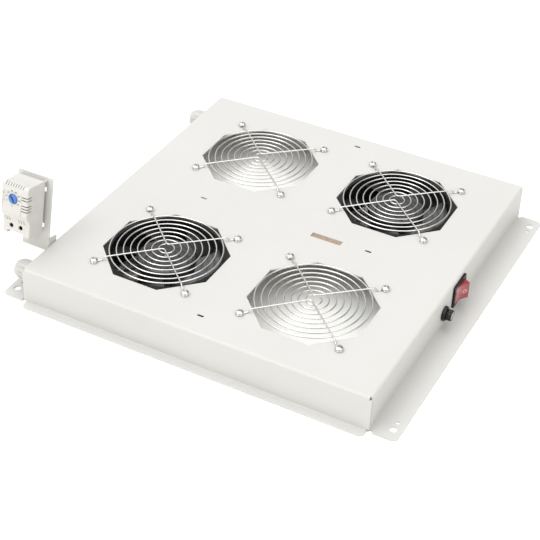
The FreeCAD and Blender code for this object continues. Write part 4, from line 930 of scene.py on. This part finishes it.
# ------------------------------------------------------------------ bracket frame
TILT = JT["temperature_dial"]["axis"]                     # depth axis of the leaning plate
DEP = V(TILT).normalized()
UP = V((0, -DEP.z, DEP.y))
PIV = V(JT["bracket_tilt"]["pos_m"])
ORG = PIV - DEP * 7.5 * S + UP * 15.0 * S
LOC = Matrix(((1, DEP.x, UP.x, ORG.x), (0, DEP.y, UP.y, ORG.y), (0, DEP.z, UP.z, ORG.z), (0, 0, 0, 1)))
# front view frame of the same place: x right, y up, z towards the viewer
FRONT = LOC @ Matrix(((1, 0, 0, 0), (0, 0, -1, 0), (0, 1, 0, 0), (0, 0, 0, 1)))
T = 1.5

EDGE = []
for a in [math.pi / 2 * i / 8 for i in range(9)]:
    EDGE.append((-2.0 + 2.0 * math.sin(a), 2.0 - 2.0 * math.cos(a)))
INN = [(-2.0 + 0.5 * math.sin(a), 2.0 - 0.5 * math.cos(a)) for a in [math.pi / 2 * i / 8 for i in range(8, -1, -1)]]


def in_plan(outline, z0, z1, bevel=0.1):
    """An outline in (x, depth) run upwards from z0 to z1, given in the front view frame."""
    bm = prism(outline, z0, z1, bevel, 1)
    bm.transform(Matrix(((1, 0, 0, 0), (0, 0, 1, 0), (0, -1, 0, 0), (0, 0, 0, 1))))
    return bm


bend = in_plan(EDGE + INN, -13.8, -1.2)
plate = prism(rounded([(-41.6, 0), (-31.7, 0), (-31.7, -13.8), (-1.95, -13.8), (-1.95, -0.9), (0, -0.9), (0, 64.6), (-41.6, 64.6)],
                      [0.4, 0.8, 0.8, 0.01, 0.3, 0.3, 2.0, 2.0], 5), -T, 0.0, 0.12, 1)
tab = in_plan([(-T, 1.95), (0, 1.95), (0, 13.4), (-T, 13.4)], -24.0, 0.0, 0.1)
cuts = [rod(1.7, -3, 1, 24, 0.01), rod(1.7, -3, 1, 24, 0.01)]
cuts[0].transform(turned(-27.5, 34.5, 0))
cuts[1].transform(turned(-15.6, 34.5, 0))
for z0, z1 in ((9.8, 15.0), (48.8, 54.0)):
    cuts.append(prism(rounded([(-26.0, z0), (-7.0, z0), (-7.0, z1), (-26.0, z1)], 0.5, 3), -3.0, 1.0))
plate = carve(plate, cuts)
hole = rod(2.05, -4, 4, 32, 0.01)
hole.transform(Matrix.Translation(V((-0.75, -15.0, -7.5)) * S) @ Matrix.Rotation(math.radians(90), 4, "Y"))
tab = carve(tab, [hole])
merge(plate, tab)
merge(plate, bend)
add("bracket_folded", plate, M["bracket_paint"], "bracket", 30, ["thermostat_bracket"], FRONT)

# rail, a rolled top-hat section
rz = 34.5
sec = [(0, rz - 12.5), (0, rz + 12.5), (-6.5, rz + 12.5), (-6.5, rz + 17.5), (-7.5, rz + 17.5), (-7.5, rz + 11.5),
       (-1, rz + 11.5), (-1, rz - 11.5), (-7.5, rz - 11.5), (-7.5, rz - 17.5), (-6.5, rz - 17.5), (-6.5, rz - 12.5)]
rail = prism(rounded(sec, [1.2, 1.2, 0.3, 0.3, 0.3, 1.2, 0.3, 0.3, 1.2, 0.3, 0.3, 0.3], 4), -31.8, -11.3, 0.1, 1)
rail.transform(Matrix(((0, 0, 1, 0), (0, 1, 0, 0), (-1, 0, 0, 0), (0, 0, 0, 1))))
cuts = []
for x in (-27.5, -15.6):
    c = rod(1.75, -3, 3, 24, 0.01)
    c.transform(turned(x, 34.5, 0))
    cuts.append(c)
add("rail_rolled", carve(rail, cuts), M["zinc_steel"], "bracket", 30, ["mounting_rail"], FRONT)

# the bracket's screw, its head towards -X
one = pan_head(3.9, 2.5, 1.98, 12.0)
at = Matrix(((0, 0, -1, (ORG.x / S - T - 0.05) * S), (0, 1, 0, PIV.y), (1, 0, 0, PIV.z), (0, 0, 0, 1)))
add("bracket_screw_turned", one, M["zinc_steel"], "bracket", 34, ["bracket_screw"], at)

# ------------------------------------------------------------------ thermostat
X0, X1, Z0, Z1 = -37.3, -5.8, 6.3, 62.3
YF, YR, YM = -32.6, -27.0, -14.0


def waist(z):
    if z >= 32.5:
        return -YF
    if z <= 21.0:
        return -YR
    f = (32.5 - z) / 11.5
    return -YF - (-YF + YR) * (0.5 - 0.5 * math.cos(math.pi * f))


# side outline in (forward, up), run across x; then the front corners are rounded
side = [(14.0, Z1), (28.4, Z1)]
side += [(28.4 + 4.2 * math.sin(a), 58.1 + 4.2 * math.cos(a)) for a in [math.pi / 2 * i / 8 for i in range(1, 9)]]
side += [(32.6, z) for z in (50.0, 42.0, 34.0)]
side += [(waist(z), z) for z in [32.5 - 11.5 * k / 14.0 for k in range(15)]]
side += [(27.0, 14.0), (27.0, Z0 + 0.8), (26.2, Z0), (14.0, Z0)]
RC = 1.5
bm = bmesh.new()
rows = []
steps = []
for i in range(7):
    a = math.pi / 2 * i / 6
    steps.append((RC - RC * math.cos(a), RC - RC * math.sin(a)))
# steps: (inset across x, set back of the front) from the side face round to the front face
ring_x = []
for ins, back in steps:
    ring_x.append((X0 + ins, back))
for ins, back in reversed(steps):
    ring_x.append((X1 - ins, back))
nrm = []
for i, (f, z) in enumerate(side):
    a = side[max(0, i - 1)]
    b = side[min(len(side) - 1, i + 1)]
    d = V((b[0] - a[0], b[1] - a[1]))
    if d.length < 1e-9:
        d = V((0, -1))
    d.normalize()
    nrm.append(V((-d.y, d.x)))
for x, back in ring_x:
    row = []
    for (f, z), nn in zip(side, nrm):
        k = back if z > Z0 + 1.2 or f <= 14.01 else back * 0.45
        ff, zz = f - nn.x * k, z - nn.y * k
        if f <= 14.01:
            ff = 14.0
            zz = z - (back if z > 30 else -back)
        row.append(bm.verts.new(V((x, zz, ff)) * S))
    rows.append(row)
for i in range(len(rows) - 1):
    for j in range(len(side) - 1):
        bm.faces.new((rows[i][j], rows[i + 1][j], rows[i + 1][j + 1], rows[i][j + 1]))
bm.faces.new(rows[0])
bm.faces.new(rows[-1][::-1])
n = len(rows)
back_loop = [r[0] for r in rows] + [r[-1] for r in rows[::-1]]
bm.faces.new(back_loop[::-1])
cover = bm
cuts = []


def cut(c):
    cuts.append(c)


cut(block((X0 + 1.6, Z0 + 1.6, 12.0), (X1 - 1.6, 32.0, 25.4), 0.3, 1))
cut(block((X0 + 1.6, 31.0, 12.0), (X1 - 1.6, Z1 - 4.4, 31.0), 0.3, 1))
cut(block((X0 + 5.5, Z0 - 1, 12.9), (X1 - 7.5, Z0 + 3.4, 28.5), 0.5, 2))
for k in range(8):
    x = X0 + 4.2 + k * 2.9
    c = prism(rounded([(x, 28.8), (x + 1.1, 28.8), (x + 1.1, 34.0), (x, 34.0)], 0.3, 2), 59.3, 64.0)
    c.transform(Matrix(((1, 0, 0, 0), (0, 0, 1, 0), (0, 1, 0, 0), (0, 0, 0, 1))))
    cut(c)
for z in (36.7, 39.6, 42.6, 48.5, 51.4):
    for xa, xb in ((X1 - 7.1, X1 + 1.0), (X0 - 1.0, X0 + 2.6)):
        cut(prism(rounded([(xa, z - 0.6), (xb, z - 0.6), (xb, z + 0.6), (xa, z + 0.6)], 0.35, 3), 25.4, 34.0))
for x in (X0 + 4.9, X0 + 21.9):
    for k in (-1, 0, 1):
        x0 = x - 1.0 + k * 3.0
        cut(prism([(x0, 24.6), (x0 + 0.8, 24.6), (x0 + 2.0, 20.4), (x0 + 1.2, 20.4)], 25.6, 34.0))
TX = (X0 + 9.9, X0 + 21.0)
for x in TX:
    c = lathe([(0, 23.6), (2.4, 23.6), (2.4, 26.7), (2.75, 27.05), (2.75, 28.5), (0, 28.5)], 40, closed=False)
    c.transform(turned(x, 15.4, 0))
    cut(c)
dial_c = FRONT.inverted() @ V(JT["temperature_dial"]["pos_m"]) / S
DX, DZ = dial_c.x, dial_c.y
c = rod(5.45, 30.6, 34.0, 64, 0.01)
c.transform(turned(DX, DZ, 0))
cut(c)
cut(block((X1 - 7.7, 28.5, 31.4), (X1 - 7.4, 54.5, 34.0), 0.0))
# a fine step line round the brow grille
for lo_, hi_ in (((X0 + 3.2, 62.1, 23.2), (X0 + 26.2, 63.0, 23.5)), ((X0 + 3.2, 62.1, 23.2), (X0 + 3.5, 63.0, 29.6)),
                 ((X0 + 25.9, 62.1, 23.2), (X0 + 26.2, 63.0, 29.6))):
    cut(block(lo_, hi_, 0.0))
add("thermostat_cover_moulded", carve(cover, cuts), M["thermostat_white"], "thermostat", 28,
    ["thermostat_cover"], FRONT)

# base: the rear half with the rail recess, shelf and ribs
base = block((X0, Z0, 0.6), (X1, Z1, 14.0), 0.35, 2)
cuts = [block((X0 - 1, Z0 - 1, -1.0), (X1 + 1, 60.7, 4.4), 0.0),
        block((X0 + 1.3, 16.6, -1.2), (X1 - 1.3, 52.6, 8.0), 0.3, 2),
        block((X0 + 1.6, Z0 + 1.6, 9.8), (X1 - 1.6, Z1 - 1.6, 15.0), 0.3, 1),
        block((-26.1, Z0 - 1, -2.5), (-17.0, 20.0, 9.5), 0.2, 1)]
for k in range(14):
    x = X0 + 2.2 + 2.0 * k
    cuts.append(block((x, Z1 - 3.4, 1.1), (x + 1.0, Z1 + 1, 5.8), 0.0))
hook = block((-27.0, 52.4, 4.0), (-16.0, 56.4, 8.2), 0.25, 2)
hook2 = block((-27.0, 49.7, 4.0), (-16.0, 56.4, 6.1), 0.25, 2)
add("thermostat_base_moulded", carve(base, cuts, [hook, hook2]), M["thermostat_white"], "thermostat",
    28, ["thermostat_base"], FRONT)

# dial: rounded blue knob with a screwdriver slot and an arrow end
face = dial_c.z
dprof = rounded([(0, 0), (4.2, 0), (4.95, 1.1), (5.3, 3.0), (1.9, 3.0), (1.9, 4.8), (0, 4.8)],
                [0, 0.9, 0.9, 0.2, 0.2, 0.2, 0], 5, closed=False)
dial = lathe([(r, -z) for r, z in dprof], 72, closed=False)
slotc = prism(rounded([(-4.4, -0.85), (3.2, -0.85), (4.4, 0.0), (3.2, 0.85), (-4.4, 0.85)], [0.3, 0.2, 0.1, 0.2, 0.3], 3), -1.1, 1.0)
slotc.transform(Matrix.Rotation(math.radians(-55), 4, "Z"))
add("dial_moulded", carve(dial, [slotc]), M["dial_blue"], "dial", 35, ["thermostat_dial"],
    FRONT @ turned(DX, DZ, face))


# a thin ink-black slab on the floor of the dial's slot: painted shade that makes the slot read darker
shade = prism(rounded([(-4.2, -0.7), (3.1, -0.7), (4.1, 0.0), (3.1, 0.7), (-4.2, 0.7)], [0.3, 0.2, 0.1, 0.2, 0.3], 3), -1.15, -0.95)
shade.transform(Matrix.Rotation(math.radians(-55), 4, "Z"))
add("dial_slot_painted_shade", shade, M["print_ink_and_slot_shade"], "dial", 35, [], FRONT @ turned(DX, DZ, face))


# printed scale: plain numbers on a circle round the dial
def text(string, size):
    cu = bpy.data.curves.new("t", "FONT")
    cu.body = string
    cu.size = size * S
    cu.align_x = "CENTER"
    cu.align_y = "CENTER"
    cu.extrude = 0.03 * S
    cu.resolution_u = 2
    o = bpy.data.objects.new("t", cu)
    COL.objects.link(o)
    dg = bpy.context.evaluated_depsgraph_get()
    dg.update()
    me = bpy.data.meshes.new_from_object(o.evaluated_get(dg))
    bm = bmesh.new()
    bm.from_mesh(me)
    bpy.data.objects.remove(o)
    bpy.data.curves.remove(cu)
    bpy.data.meshes.remove(me)
    return bm


front_z = -YF
print_bm = bmesh.new()
for i, s in enumerate(("0", "10", "20", "30", "40", "50", "60", "70")):
    a = math.radians(-155 - 34.5 * i + 360)
    r = 7.9
    t = text(s, 2.95)
    t.transform(turned(DX + r * math.cos(a) - 0.3, DZ + r * math.sin(a), front_z + 0.02))
    merge(print_bm, t)
for s, z in (("5", -5.6), ("15", -3.3), ("25", -1.0), ("35", 3.3), ("45", 5.5)):
    t = text(s, 1.7)
    t.transform(turned(DX - 10.7, DZ + z, front_z + 0.02))
    merge(print_bm, t)
t = text("°C", 2.2)
t.transform(turned(DX - 1.0, DZ - 7.9, front_z + 0.02))
merge(print_bm, t)
add("scale_print", print_bm, M["print_ink_and_slot_shade"], "thermostat", 40, [], FRONT)
